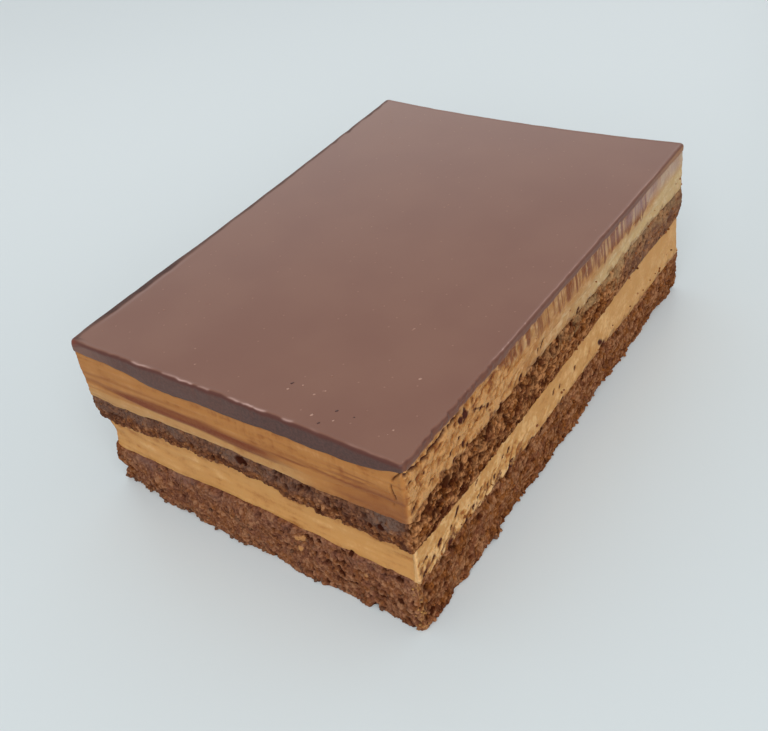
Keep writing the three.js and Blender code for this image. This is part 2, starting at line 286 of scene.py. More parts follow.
class Bar:
    """The bar's sizes in millimetres, its outline and the heights at which its layers meet.

    front, right, back and left are 1 at the stations of that side and 0 at the others. torn is 1
    where the knife dragged, on the right and at the back, and 0 elsewhere.
    """

    def __init__(self, sizes):
        for name in BarSizes.__annotations__:
            setattr(self, name, getattr(sizes, name) / MM)
        self.half_x = self.width / 2
        self.half_y = self.length / 2
        self.x, self.y, self.out_x, self.out_y = self.stations()
        ways = (-self.out_y, self.out_x, self.out_y, -self.out_x)
        self.front, self.right, self.back, self.left = (smoothstep(0.6, 0.9, way) for way in ways)
        self.torn = smoothstep(-0.35, 0.75, self.out_x + self.out_y)

    def stations(self):
        """Points round a rectangle with round corners, anticlockwise from the front right one.

        A corner is a quarter circle, its middle plus the radius times (cos a, sin a), and a side is
        the straight line to the next corner. The last two rows give the way out of the side.
        """
        reach_x = self.half_x - self.corner_radius
        reach_y = self.half_y - self.corner_radius
        corners = ((1, -1, RIGHT_STEPS), (1, 1, BACK_STEPS), (-1, 1, LEFT_STEPS), (-1, -1, FRONT_STEPS))
        pieces = []
        for index, (side_x, side_y, steps) in enumerate(corners):
            next_x, next_y, _ = corners[(index + 1) % 4]
            turn = (index - 1 + np.arange(CORNER_STEPS + 1) / CORNER_STEPS) * math.pi / 2
            along = np.arange(1, steps) / steps
            turn = np.concatenate([turn, np.full(steps - 1, turn[-1])])
            along = np.concatenate([np.zeros(CORNER_STEPS + 1), along])
            x = mix(side_x, next_x, along) * reach_x + self.corner_radius * np.cos(turn)
            y = mix(side_y, next_y, along) * reach_y + self.corner_radius * np.sin(turn)
            pieces.append(np.stack([x, y, np.cos(turn), np.sin(turn)]))
        return np.concatenate(pieces, axis=1)

    def bend(self, x, y, z):
        """Carries a point of the plain rectangle to its place in the crookedly cut bar.

        The corners' shifts are blended across the rectangle and from the plate to the top, and the
        hollow of a side falls off as one minus the square of the way from its middle.
        """
        across = x / self.half_x
        along = y / self.half_y
        bent_x = x + CENTRE_X
        bent_y = y + CENTRE_Y
        for corner in CORNER_SHIFTS:
            weight = (0.5 + 0.5 * corner["x"] * across) * (0.5 + 0.5 * corner["y"] * along)
            bent_x = bent_x + weight * mix(corner["bottom"][0], corner["top"][0], z / self.height)
            bent_y = bent_y + weight * mix(corner["bottom"][1], corner["top"][1], z / self.height)
        middle_x = 1 - across * across
        middle_y = 1 - along * along
        front_hollow = mix(FRONT_HOLLOW_BOTTOM, FRONT_HOLLOW_TOP, z / self.height)
        bent_y = bent_y + front_hollow * middle_x * (0.5 - 0.5 * along)
        bent_y = bent_y - BACK_HOLLOW * middle_x * (0.5 + 0.5 * along)
        bent_x = bent_x + LEFT_HOLLOW * middle_y * (0.5 - 0.5 * across)
        return bent_x, bent_y, z

    # The height of each joint is its level plus a gentle swell, plus what the tables above add
    # along the front and the right side. JointEdges makes its edge ragged.

    def plate(self, x, y):
        return np.zeros(np.broadcast(x, y).shape)

    def base_sponge_joint(self, x, y):
        level = self.base_sponge_top + 0.3 * slow_wave(x, y, 0.4)
        return level + front_rise(BASE_SPONGE_RISE, x, y) + right_rise(BASE_SPONGE_RISE_RIGHT, x, y)

    def lower_cream_joint(self, x, y):
        level = self.lower_cream_top + 0.25 * slow_wave(x, y, 1.9)
        return level + front_rise(LOWER_CREAM_RISE, x, y) + right_rise(LOWER_CREAM_RISE_RIGHT, x, y)

    def middle_sponge_level(self, x, y):
        level = self.middle_sponge_top + 0.3 * slow_wave(x, y, 3.1)
        return level + (0.025 * x - self.front_sag) * sag_in_front(y)

    def middle_sponge_joint(self, x, y):
        return self.middle_sponge_level(x, y) + front_rise(MIDDLE_SPONGE_RISE, x, y)

    def pale_cream_joint(self, x, y):
        thicker = smoothstep(14, 27, x) * sag_in_front(y)
        level = self.middle_sponge_level(x, y) + self.pale_cream + thicker
        return level + front_rise(PALE_CREAM_RISE, x, y)

    def streak_joint(self, x, y):
        return self.pale_cream_joint(x, y) + self.streak

    def upper_cream_joint(self, x, y):
        pinch = 1 - 0.9 * smoothstep(23, 31, x)
        extra = self.glaze_extra * smoothstep(-32, -12, x) * pinch * sag_in_front(y)
        thin_on_right = 0.45 * smoothstep(27, 31, x)
        level = self.height - self.glaze + 0.12 * slow_wave(x, y, 4.4)
        return level - extra + thin_on_right + front_rise(UPPER_CREAM_RISE, x, y)

    def from_edge(self, side_x, side_y):
        """How far each station is from the upright edge between two sides, each given as -1 or 1."""
        return np.hypot(self.x - side_x * self.half_x, self.y - side_y * self.half_y)


def leaning(y, z, lean):
    """The way along and the way across a line that leans back by an angle, given as (cosine, sine)."""
    cosine, sine = lean
    return cosine * y + sine * z, cosine * z - sine * y


def ragged(x, y, amount, size, seed):
    """An uneven edge: noise in cells of the given size plus half as much in cells half as large."""
    coarse = noise(x / size, y / size, 0.5, seed)
    return amount * (coarse + 0.5 * noise(2 * x / size, 2 * y / size, 0.5, seed + 1))


# ---- Meshes ----


def fill_mesh(name, points, quads, triangles, marks):
    """A mesh object from arrays: points in millimetres, four-sided and three-sided faces, and marks.

    A mark is a number for each point, kept as an attribute that the piece's material reads.
    """
    corners = np.concatenate([quads.ravel(), triangles.ravel()])
    sizes = np.concatenate([np.full(len(quads), 4), np.full(len(triangles), 3)])
    mesh = bpy.data.meshes.new(name)
    mesh.vertices.add(len(points))
    mesh.vertices.foreach_set("co", (points * MM).astype(np.float32).ravel())
    mesh.loops.add(len(corners))
    mesh.loops.foreach_set("vertex_index", corners.astype(np.int32))
    mesh.polygons.add(len(sizes))
    starts = np.concatenate([[0], np.cumsum(sizes)[:-1]])
    mesh.polygons.foreach_set("loop_start", starts.astype(np.int32))
    mesh.polygons.foreach_set("loop_total", sizes.astype(np.int32))
    mesh.polygons.foreach_set("use_smooth", np.ones(len(sizes), bool))
    for mark, values in marks.items():
        attribute = mesh.attributes.new(mark, "FLOAT", "POINT")
        attribute.data.foreach_set("value", np.asarray(values, np.float32).ravel())
    mesh.update(calc_edges=True)
    mesh.validate()
    made = bpy.data.objects.new(name, mesh)
    bpy.context.scene.collection.objects.link(made)
    return made


def ring_faces(rows, columns):
    """The faces of closed rings of points that lie above each other, as rows of point numbers.

    Neighbouring rings are joined by four-sided faces, and the first and the last ring are closed by
    triangles to two points that come after all the rings.
    """
    index = np.arange(rows * columns).reshape(rows, columns)
    right = np.roll(index, -1, axis=1)
    quads = np.stack([index[:-1], right[:-1], right[1:], index[1:]], axis=-1).reshape(-1, 4)
    tip = np.full(columns, index.size)
    fans = np.concatenate([
        np.stack([right[0], index[0], tip], axis=-1),
        np.stack([index[-1], right[-1], tip + 1], axis=-1),
    ])
    return quads, fans


def closed_layer(name, x, y, z, marks):
    """A closed mesh from rows of points that run round the bar, each row above or outside the last.

    The two points that close its first and its last row are the means of those rows.
    """
    grid = np.stack([x, y, z], axis=-1).reshape(-1, 3)
    tips = np.array([[v[row].mean() for v in (x, y, z)] for row in (0, -1)])
    padded = {mark: np.append(np.broadcast_to(values, x.shape), [0, 0]) for mark, values in marks.items()}
    return fill_mesh(name, np.concatenate([grid, tips]), *ring_faces(*x.shape), padded)


def side_path(side_rows, rounding):
    """The way round a layer's section, from its lower flat over the side to its upper flat.

    Returns three columns: the share of the layer's height, millimetres added to that, and how far
    inside the cut the row lies. The edges are quarter circles of the given radius.
    """
    turn = np.arange(ROUNDING_ROWS) / ROUNDING_ROWS * math.pi / 2
    edge_in = rounding * (1 - np.sin(turn))
    edge_up = rounding * (1 - np.cos(turn))
    side = np.linspace(0, 1, side_rows)
    flat = np.array(LEDGE_INSETS) + rounding
    still = np.zeros(len(flat))
    share = np.concatenate([still, 0 * turn, side, 0 * turn + 1, still + 1])
    lift = np.concatenate([still, edge_up, rounding * (1 - 2 * side), -edge_up[::-1], still])
    inset = np.concatenate([flat, edge_in, 0 * side, edge_in[::-1], flat[::-1]])
    return share[:, None], lift[:, None], inset[:, None]


def side_stand(steps, share):
    """How far a side stands out of the cut: straight lines between evenly spaced steps."""
    return np.interp(share, np.linspace(0, 1, len(steps)), steps)


# How far the upright edge between the front and the left side is cut away at each height.
LEFT_END_HEIGHTS = (0, 2.5, 3.6, 4.6, 5.3, 6.8, 8.5, 10, 11.5, 12.5, 13.4, 14.2, 14.9, 18.2, 22, 25, 28.5)
LEFT_END_SHIFTS = (
    0.8, 1.8, 3.0, 3.8, 1.1, 0.9, 1.3, 1.4, 1.4, 1.1, 0.5, 0.3, -0.3, -0.55, -0.4, -0.5, -0.3
)
# How far the upright edge between the back and the right side stands out at each height.
BACK_END_HEIGHTS = (0, 8, 10, 14, 17, 23, 27, 29.5)
BACK_END_SHIFTS = (0.6, 0.6, -0.4, -0.4, 0, 0.5, 0.5, 0)


def left_end(bar, z):
    """The move to the right near the front left corner, falling off from it over 5 mm."""
    return np.interp(z, LEFT_END_HEIGHTS, LEFT_END_SHIFTS) * bump(bar.from_edge(-1, -1), 0, 5)


def back_end(bar, z):
    """The move to the back near the back right corner, falling off from it over 4 mm."""
    return np.interp(z, BACK_END_HEIGHTS, BACK_END_SHIFTS) * bump(bar.from_edge(1, 1), 0, 4)


# How far the base sponge's foot lies outside or inside the cut: along the front and the right.
FRONT_FOOT_PLACES = (-30, -26, -22, -18, -10, -6, 0, 2, 5, 8, 10.5, 13, 16, 20, 22, 25, 27, 29)
FRONT_FOOT_MOVES = (
    -0.8, -0.4, -0.3, 0, 0.2, -0.3, -0.2, -0.9, -0.75, -0.45, -0.25, -0.4, -0.8, -0.5, -0.1, -0.6, -0.2,
    0.15,
)
RIGHT_FOOT_PLACES = (-44, -42, -30, -26, -18, -16, -12, -6, -1, 2, 6, 8, 11, 16, 20, 24, 27, 31, 34, 41)
RIGHT_FOOT_MOVES = (
    0, 0.2, 0.15, -0.1, -0.1, -0.2, 0.6, 0.45, -0.15, -0.1, 0.3, -0.4, -0.6, -0.6, -0.45, -0.75, -0.3, -0.85,
    -0.5, -0.6,
)


def foot_moves(bar):
    """The way outwards of the base sponge's foot at each station, straight between its places."""
    front = np.interp(bar.x, FRONT_FOOT_PLACES, FRONT_FOOT_MOVES) * bar.front
    return front + np.interp(bar.y, RIGHT_FOOT_PLACES, RIGHT_FOOT_MOVES) * bar.right


LEDGE_CALM = (0.6, 3.5)  # how far inside the cut the movement of a side begins and ends to fade


def wrap_layer(bar, name, lower, upper, relief, side_rows, rounding, stand, torn_stand=None):
    """One layer of the bar between two joints.

    A point of the side lies at the cut's outline, moved out by the stand, which may be another on
    the torn sides, by the relief there and by the moves of two upright edges. The movement fades on
    the flats. relief(x, y, z, share) also gives the marks of the surface.
    """
    share, lift, inset = side_path(side_rows, rounding)
    x = bar.x - bar.out_x * inset
    y = bar.y - bar.out_y * inset
    low = lower(x, y)
    high = upper(x, y)
    z = mix(low, high, share) + lift
    move, marks = relief(x, y, z, np.broadcast_to(share, x.shape))
    fade = 1 - smoothstep(*LEDGE_CALM, inset)
    standing = mix(side_stand(stand, share), side_stand(torn_stand or stand, share), bar.torn)
    move = (move + standing) * fade
    x = x + bar.out_x * move + left_end(bar, z) * fade
    y = y + bar.out_y * move + back_end(bar, z) * fade
    return closed_layer(name, *bar.bend(x, y, z), marks)


# ---- Marks and relief of the sponges ----

# Pits torn out of the front and of the right side: the place along the side, the height, half the
# length, half the breadth, the lean of the length in degrees up from level, and the depth.
FRONT_PITS = (
    (1.8, 19.4, 1.15, 0.6, -15, 1.3),
    (7.4, 8.0, 0.4, 0.3, 0, 0.5),
    (11.9, 8.8, 0.45, 0.3, -30, 0.6),
    (14.3, 9.3, 0.4, 0.3, 0, 0.6),
    (18.5, 9.0, 0.55, 0.3, -20, 0.7),
    (20.2, 9.8, 0.35, 0.3, 0, 0.6),
    (15.8, 6.1, 0.4, 0.35, 0, 0.6),
    (18.2, 5.0, 0.5, 0.4, 0, 0.8),
    (20.1, 4.1, 0.55, 0.35, 0, 0.7),
    (28.1, 8.5, 0.55, 0.5, 0, 0.8),
    (28.2, 4.6, 0.5, 0.4, 0, 0.7),
    (24.8, 3.3, 0.45, 0.4, 0, 0.7),
    (26.4, 18.1, 0.5, 0.5, 0, 0.8),
    (24.6, 17.6, 0.35, 0.3, 0, 0.6),
)
RIGHT_PITS = (
    (-43.0, 2.2, 0.7, 0.6, 20, 0.8),
    (-36.9, 21.2, 1.1, 0.7, 35, 1.3),
    (-40.6, 21.2, 0.75, 0.5, 45, 1.0),
    (-32.7, 16.5, 0.65, 0.5, 40, 1.0),
    (-21.2, 21.4, 0.7, 0.6, 30, 1.1),
    (-21.3, 22.4, 0.3, 0.25, 0, 0.6),
    (-32.4, 20.0, 0.65, 0.6, 40, 1.0),
    (-23.9, 21.1, 0.9, 0.4, 20, 0.8),
    (-40.3, 18.7, 0.75, 0.55, 30, 1.1),
    (-37.6, 16.5, 0.6, 0.5, 30, 1.0),
    (7.0, 22.0, 0.4, 0.35, 30, 0.8),
    (3.1, 22.6, 0.6, 0.35, 20, 0.8),
    (0.3, 21.9, 0.45, 0.35, 30, 0.8),
    (-4.2, 21.6, 0.8, 0.35, 60, 0.9),
    (-10.2, 22.2, 0.65, 0.5, 30, 1.0),
    (-15.4, 23.0, 0.5, 0.3, 30, 0.7),
    (22.6, 21.9, 0.75, 0.35, 50, 0.8),
    (3.8, 16.0, 0.45, 0.4, 30, 0.8),
    (8.1, 17.8, 0.5, 0.45, 30, 0.8),
    (11.9, 9.7, 0.8, 0.6, 30, 1.1),
    (4.7, 8.5, 0.8, 0.4, 20, 0.8),
    (-3.0, 9.4, 0.6, 0.35, 20, 0.8),
    (-9.9, 8.4, 0.6, 0.6, 30, 0.9),
    (-13.9, 8.6, 0.7, 0.6, 30, 0.9),
    (-20.8, 8.7, 0.6, 0.45, 30, 0.9),
)
# Pits that only the creams of the right side have.
CREAM_PITS = (
    (-30.5, 27.8, 0.8, 0.6, 110, 0.6),
    (-31.6, 27.5, 0.55, 0.5, 110, 0.5),
    (-26.3, 25.7, 1.9, 0.1, -28, 0.2),
    (-27.8, 26.4, 0.35, 0.22, 20, 0.4),
    (-26.5, 25.8, 0.35, 0.24, 40, 0.4),
    (-24.8, 24.8, 0.4, 0.28, 50, 0.4),
    (-34.6, 24.2, 0.4, 0.3, 20, 0.4),
    (-32.3, 25.0, 0.25, 0.2, 20, 0.3),
    (-31.4, 23.2, 0.45, 0.3, 60, 0.4),
    (-30.6, 22.5, 0.35, 0.25, 60, 0.4),
    (-33.9, 22.6, 0.45, 0.3, 30, 0.5),
    (-8.6, 24.3, 0.7, 0.17, 40, 0.4),
    (-10.0, 24.0, 0.4, 0.15, 40, 0.4),
    (-43.9, 27.0, 0.25, 0.2, 40, 0.3),
    (-40.8, 26.0, 0.2, 0.15, 40, 0.3),
    (-19.9, 12.7, 0.45, 0.22, 31, 0.5),
    (-21.6, 12.8, 0.4, 0.13, 20, 0.4),
    (-19.8, 10.3, 0.7, 0.17, 14, 0.4),
    (-24.3, 11.3, 0.45, 0.22, 31, 0.5),
    (-28.9, 14.0, 0.45, 0.18, 31, 0.5),
    (-26.5, 11.6, 0.2, 0.14, 31, 0.3),
    (-28.2, 12.0, 0.55, 0.15, 40, 0.5),
    (-29.2, 11.6, 0.3, 0.13, 40, 0.4),
    (-30.6, 10.9, 0.4, 0.25, 31, 0.5),
    (-31.7, 11.9, 0.22, 0.15, 31, 0.3),
    (-34.5, 13.3, 0.75, 0.25, 45, 0.6),
    (-36.4, 12.2, 0.35, 0.14, 31, 0.4),
    (-41.4, 10.9, 0.5, 0.3, 31, 0.9),
    (-13.4, 9.0, 0.7, 0.6, 20, 0.5),
    (-9.5, 9.0, 0.5, 0.4, 20, 0.4),
    (-20.4, 9.3, 0.6, 0.45, 25, 0.5),
    (-24.6, 9.4, 0.8, 0.35, 25, 0.4),
    (-33.2, 9.8, 0.9, 0.4, 25, 0.5),
    (-37.2, 10.0, 0.7, 0.35, 22, 0.5),
    (-39.4, 12.0, 0.6, 0.25, 22, 0.4),
    (-42.9, 12.2, 0.5, 0.2, 22, 0.3),
    (-43.6, 10.2, 0.6, 0.22, 22, 0.4),
    (5.2, 9.3, 0.8, 0.4, 20, 0.5),
    (11.3, 10.8, 0.8, 0.45, -45, 0.4),
    (12.4, 9.2, 0.9, 0.6, -45, 0.5),
    (2.0, 12.2, 0.4, 0.25, 60, 0.4),
    (-3.3, 12.4, 0.35, 0.25, 60, 0.4),
    (-5.3, 12.6, 0.45, 0.2, 60, 0.5),
)
PIT_DEPTH = 0.6  # the share of its depth that a pit is sunk

# Pale chunks in the base sponge's front: places, heights, half length and half breadth.
PALE_CHUNKS = ((10.8, 8.1, 0.95, 0.55), (10.4, 5.9, 0.5, 0.45), (-3.0, 6.2, 0.4, 0.3), (22.5, 6.8, 0.35, 0.3))

# The knife's way on the torn sides, rising to the back: the cosine and sine of its lean.
CRUMB_LEAN = (0.94, 0.34)
SLIT_LEAN = (0.82, 0.57)
FRAY_LEAN = (0.91, 0.42)
RIDGE_LEAN = 0.76  # how far ridges of cream lie further back for each millimetre up
HAIR_LEAN = 0.16  # how far hairs of chocolate lie further in front for each millimetre up

COARSE_GRAIN = 0.88
FINE_GRAIN = 0.48
GRAIN_STRETCH = 1.15  # along the knife's way
BETWEEN_SPONGES = 12  # a height in the lower cream


def front_right_edge(bar):
    """1 on the upright edge between the front and the right side, falling off within half a millimetre."""
    return bump(bar.from_edge(1, -1), 0.2, 0.45)


def pitted(bar, x, y, z, right_pits, seed):
    """How deep the torn pits are at each point, and how much painted shade darkens them.

    A pit is a bowl: 1 inside a leaning ellipse and falling to 0 at its rim, whose edge noise
    shakes. The painted shade reaches the rim, so that a pit shows from the side as well.
    """
    shake = 0.3 * noise(x / 0.6, y / 0.6, z / 0.6, seed)
    depth = np.zeros(x.shape)
    dark = np.zeros(x.shape)
    for mask, side_place, pits in ((bar.front, x, FRONT_PITS), (bar.right, y, right_pits)):
        for place, height, half_length, half_breadth, lean, deep in pits:
            angle = math.radians(lean)
            along, across = leaning(side_place - place, z - height, (math.cos(angle), math.sin(angle)))
            reach = np.hypot(along / half_length, across / half_breadth)
            depth = np.maximum(depth, PIT_DEPTH * deep * smoothstep(1.2, 0.3, reach + shake) * mask)
            # dark is painted shade, reaching past the bowl's rim.
            dark = np.maximum(dark, smoothstep(1.45, 1.0, reach + shake) * mask)
    return depth, dark


def pale_chunks(bar, x, y, z):
    """1 inside the pale chunks of the front and falling to 0 at their shaken rims."""
    shake = 0.35 * noise(x / 0.5, y / 0.5, z / 0.5, 331)
    inside = np.zeros(x.shape)
    for place, height, half_length, half_breadth in PALE_CHUNKS:
        reach = np.hypot((x - place) / half_length, (z - height) / half_breadth) + shake
        inside = np.maximum(inside, smoothstep(1.1, 0.8, reach))
    return inside * bar.front


def sponge_relief(bar, seed, lumps, openness, film, smear, foot, calm_foot):
    """The relief of a cut sponge, and its marks.

    The height is the crags plus grains of crumb of two sizes, each grain falling with the distance
    from its middle, with a crevice where two grains are equally near. The more open the crumb is,
    the more of its grains are missing and leave a pore. On the torn sides the grains are drawn out
    along the knife's way. Film and smear, from 0 to 1, smooth it all, and so does a calm foot
    on the right side. The lowest part is moved out by foot.
    """

    def relief(x, y, z, share):
        soft = film(bar, x, y, z, share)
        spread = smear(bar, x, y, z, share)
        smooth = np.maximum(soft, spread)
        opened = openness(bar, x, y, z) * (1 - 0.8 * smooth)
        drawn_along, drawn_across = leaning(y, z, CRUMB_LEAN)
        along = mix(y, drawn_along / GRAIN_STRETCH, bar.torn)
        across = mix(z, drawn_across, bar.torn)
        coarse, coarse_gap, coarse_tone = grains(x, along, across, COARSE_GRAIN, seed + 5)
        fine, fine_gap, fine_tone = grains(x, along, across, FINE_GRAIN, seed + 6)
        crevice = 1 - smoothstep(0.0, 0.24, coarse_gap)
        fine_crevice = 1 - smoothstep(0.0, 0.28, fine_gap)
        pore = smoothstep(0.5 * opened, 0.5 * opened - 0.06, coarse_tone) * smoothstep(0.05, 0.3, coarse_gap)
        fine_pore = smoothstep(0.4 * opened, 0.4 * opened - 0.06, fine_tone) * (1 - fine_crevice)
        flakes = noise(x / 0.6, along / 0.75, across / 0.45, seed + 10)
        crumb = 0.2 * (0.6 - coarse) + 0.14 * (0.6 - fine) - 0.1 * crevice - 0.06 * fine_crevice
        crumb = crumb + 0.11 * flakes
        depth, dark = pitted(bar, x, y, z, RIGHT_PITS, seed)
        chunks = pale_chunks(bar, x, y, z) * (z < BETWEEN_SPONGES)
        move = lumps * crags(x, y, z, seed) + (1 - 0.7 * smooth) * crumb
        move = move - 0.75 * pore - 0.35 * fine_pore - depth + 0.25 * chunks
        gaps = (0.6 * crevice + 0.5 * fine_crevice) * (0.5 + 0.5 * opened)
        # Painted shade in the crevices between grains and in the pores; the pits add theirs below.
        hollow = np.maximum(np.maximum(gaps * (1 - 0.8 * smooth), pore), 0.85 * fine_pore)
        # Painted highlight: the crumb is lighter along the front right upright edge.
        on_edge = bump(bar.from_edge(1, -1), 0, 1.1)
        tone = 0.22 + 0.35 * coarse_tone + 0.4 * fine_tone + 0.2 * on_edge + 0.7 * chunks
        tone = tone - 0.17 * bar.front * (z > BETWEEN_SPONGES) + 0.07 * bar.right
        tone = tone - 0.09 * bar.right * smoothstep(5.5, 3, z) * smoothstep(-38, -30, y)
        tone = tone + (0.06 + 0.4 * opened) * noise(x / 1.4, y / 1.7, z / 1.4, seed + 9) + 0.16 * flakes
        calm = calm_foot * bar.right * smoothstep(0.3, 0.02, share)
        move = mix(move, 0.3 * move, calm) + foot * smoothstep(6.5, 0.8, z)
        marks = {
            "hollow": np.clip(np.maximum(hollow, dark) * (1 - chunks), 0, 1),
            "tone": tone,
            "film": soft * (1 - chunks),
            "smear": np.maximum(spread, 0.5 * chunks),
        }
        return move, marks

    return relief


# Openness, film and smear run from 0 to 1. Each is a level for a side, changed by smooth steps
# along it and by noise.


def base_openness(bar, x, y, z):
    """The base sponge is dense: closed in front but for its right end, a little open elsewhere."""
    patch = noise(x / 4, y / 4, z / 3, 311)
    right_end = smoothstep(6, 16, x) * bar.front
    return np.clip(0.12 + 0.14 * bar.torn + 0.18 * right_end + 0.2 * patch, 0, 1)


def middle_openness(bar, x, y, z):
    """The middle sponge is airy: torn wide open at the right side's front end, less so elsewhere."""
    patch = noise(x / 4, y / 4, z / 3, 313)
    right = bar.right * (0.25 + 0.35 * smoothstep(15, -25, y))
    right_end = 0.3 * smoothstep(2, 16, x) * bar.front
    return np.clip(0.15 + right + 0.3 * bar.back + right_end + 0.2 * patch, 0, 1)


def base_film(bar, x, y, z, share):
    """A thin grey bloom in front, thicker under the cream at the left and along the upper edge."""
    patch = 0.5 + 0.5 * noise(x / 3, y / 3, z / 1.5, 301)
    upper = smoothstep(0.65, 0.95, share)
    left = smoothstep(2, -12, x)
    whole = bar.front * (0.22 + upper * patch * (0.22 + 0.32 * left))
    return np.clip(whole * smoothstep(-30.5, -28, x), 0, 1)


def middle_film(bar, x, y, z, share):
    """Soaked crumb: a grey skin on the front's upper half, thickest near its right end.

    The right side has one too, towards the back.
    """
    patch = 0.5 + 0.5 * noise(x / 2.4, y / 2.4, z / 1.3, 307)
    upper = smoothstep(0.3, 0.65, share + 0.15 * noise(x / 1.2, y / 1.2, 0.5, 309))
    right_end = smoothstep(22, 27, x) * smoothstep(31.2, 28.5, x)
    thin = 1 - 0.6 * smoothstep(6, 16, x)
    in_front = 0.25 + upper * (thin * (0.25 + 0.35 * patch) + 0.5 * right_end)
    at_back = 0.6 * smoothstep(12, 26, y) * bar.right * (0.6 + 0.6 * patch)
    return np.clip(bar.front * in_front + at_back, 0, 1)


def base_smear(bar, x, y, z, share):
    """Cream that the knife drew down along the front right edge, in broken bits."""
    bits = smoothstep(0.0, 0.3, noise(x / 0.4, y / 0.4, z / 0.5, 345) + 0.6 * share - 0.3)
    return 0.5 * front_right_edge(bar) * bits


def middle_smear(bar, x, y, z, share):
    """Cream dragged over the crumb's upper part on the right side, the more the further back."""
    blotch = noise(x / 1.5, y / 1.9, z / 0.9, 341) + 0.5 * noise(x / 0.6, y / 0.7, z / 0.5, 343)
    upper = smoothstep(0.55, 1.0, share + 0.35 * blotch)
    broken = smoothstep(-0.5, 0.3, noise(x / 2.2, y / 2.2, z / 1.5, 347) + smoothstep(5, 30, y))
    strength = (0.1 + 0.55 * smoothstep(-18, 12, y)) * (1 - 0.45 * smoothstep(18, 28, y))
    return bar.right * upper * broken * strength


# ---- Marks and relief of the creams ----

# Where chocolate was dragged down over the creams of the right side, and how far down: places
# along the side and the height at which the strokes end there.
STROKE_PLACES = (-24, -19, -12, -6, 0, 5, 10, 15, 27, 33)
STROKE_ENDS = (29.0, 27.4, 26.8, 26.5, 26.1, 26.4, 26.3, 26.1, 26.0, 28.6)

# A crack in the cream round the front right corner: down the front side, places along X and
# heights, and along the right side, places along Y and heights.
CRACK_PLACES = (31.2, 29.9, 29.1, 29.0, 29.3, 29.6, 29.2)
CRACK_HEIGHTS = (29.8, 28.4, 27.2, 26.2, 25.3, 24.6, 23.8)
CRACK_SIDE_PLACES = (-45.5, -44.5, -43.4, -42.4, -41.4, -40.3, -39.2, -37.9, -37.1, -36.2, -35.7, -33.4)
CRACK_SIDE_HEIGHTS = (29.2, 29.1, 28.8, 28.5, 28.3, 28.3, 28.45, 28.3, 28.4, 28.7, 28.9, 28.9)


def hairs(y, z):
    """How strong a stroke is, from 0 to 1: hairs of two breadths that lean back on their way down."""
    slanted = y + HAIR_LEAN * z
    wide = noise(slanted / 0.5, 0.5, z / 5, 409)
    return smoothstep(-0.5, 0.4, wide + 0.9 * noise(slanted / 0.28, 0.5, z / 4, 410))


def stroke_strength(y, z):
    """How much chocolate the strokes leave: a thin film everywhere, more in the hairs and less between."""
    return 0.47 + 0.8 * (hairs(y, z) - 0.5)


def banded_chocolate(bar, x, y, z):
    """How much chocolate a clean side shows: a band, a line, level threads, a fringe and a low film.

    The band lies over the pale cream, is darkest near its foot and fades upwards. Above its left
    end runs a thin line. Towards the right the band splits into threads, with a film at their foot.
    The fringe is darker and lies right under the glaze.
    """
    lines = noise(x / 11, y / 11, z / 0.35, 402)
    level = z - bar.pale_cream_joint(x, y) - 0.25 * noise(x / 9, y / 9, 0.5, 401)
    rise = 0.8 * smoothstep(-14, -30, x)
    top = mix(0.6, 1.5, smoothstep(-28, -14, x))
    band = smoothstep(-0.1, 0.3, level - rise) * smoothstep(top + 1.0, top - 0.1, level - rise)
    band = band * (1.0 + 0.2 * lines) * (0.3 + 0.7 * smoothstep(-31, -19, x))
    stray = 0.35 * bump(level, 3.0, 0.3) * smoothstep(-2, -14, x)
    threads = smoothstep(-0.1, 0.75, lines + 0.3 * noise(x / 4, y / 4, z / 0.6, 403))
    lowest = mix(-0.2, -1.2, smoothstep(14, 21, x))
    wide = smoothstep(lowest, lowest + 0.8, level) * smoothstep(3.8, 1.2, level)
    spread = smoothstep(3, 14, x) * bar.front
    low = smoothstep(2.2, 0.2, level) * smoothstep(14, 24, x) * bar.front
    low = low * (0.62 + 0.38 * noise(x / 7, y / 7, z / 0.5, 406))
    below_glaze = bar.upper_cream_joint(x, y) - z + 0.15 * noise(x, y, 0.5, 404)
    stain_and_shade = 0.45 * smoothstep(0.6, 0.1, below_glaze) * (x < 28)
    banded = mix(np.maximum(band, stray), 0.9 * wide * threads, spread)
    return np.maximum(np.maximum(banded, 0.95 * low), stain_and_shade)


def dragged_chocolate(bar, y, z):
    """How much chocolate a torn side shows: strokes that hang from the glaze, and blotches in front."""
    end = np.interp(y, STROKE_PLACES, STROKE_ENDS)
    slanted = y + HAIR_LEAN * z
    reach = 1.6 * noise(slanted / 0.9, 0.5, 0.5, 405) + 0.6 * noise(slanted / 2.6, 0.5, 0.5, 407)
    stroke = smoothstep(end + reach - 0.6, end + reach + 0.5, z)
    foot_line = 0.35 * bump(z, end + reach, 0.25) * smoothstep(8, 14, y)
    strokes = stroke * stroke_strength(y, z) + foot_line
    strokes = strokes * smoothstep(-28, -20, y) * smoothstep(37, 30, y)
    combed = y - RIDGE_LEAN * z
    blotch = noise(combed / 1.3, 0.5, z / 1.6, 411) + 0.5 * noise(combed / 0.45, 0.5, z / 1.1, 412)
    mottle = smoothstep(0.1, 0.9, blotch) * smoothstep(-18, -26, y) * smoothstep(23, 27, z)
    return np.where(bar.out_x > 0.3, np.maximum(strokes, 0.42 * mottle), 0.7 * strokes)


def chocolate_in_cream(bar, x, y, z):
    """How much chocolate is in the cream at a point, from 0 to 1."""
    return np.clip(mix(banded_chocolate(bar, x, y, z), dragged_chocolate(bar, y, z), bar.torn), 0, 1)


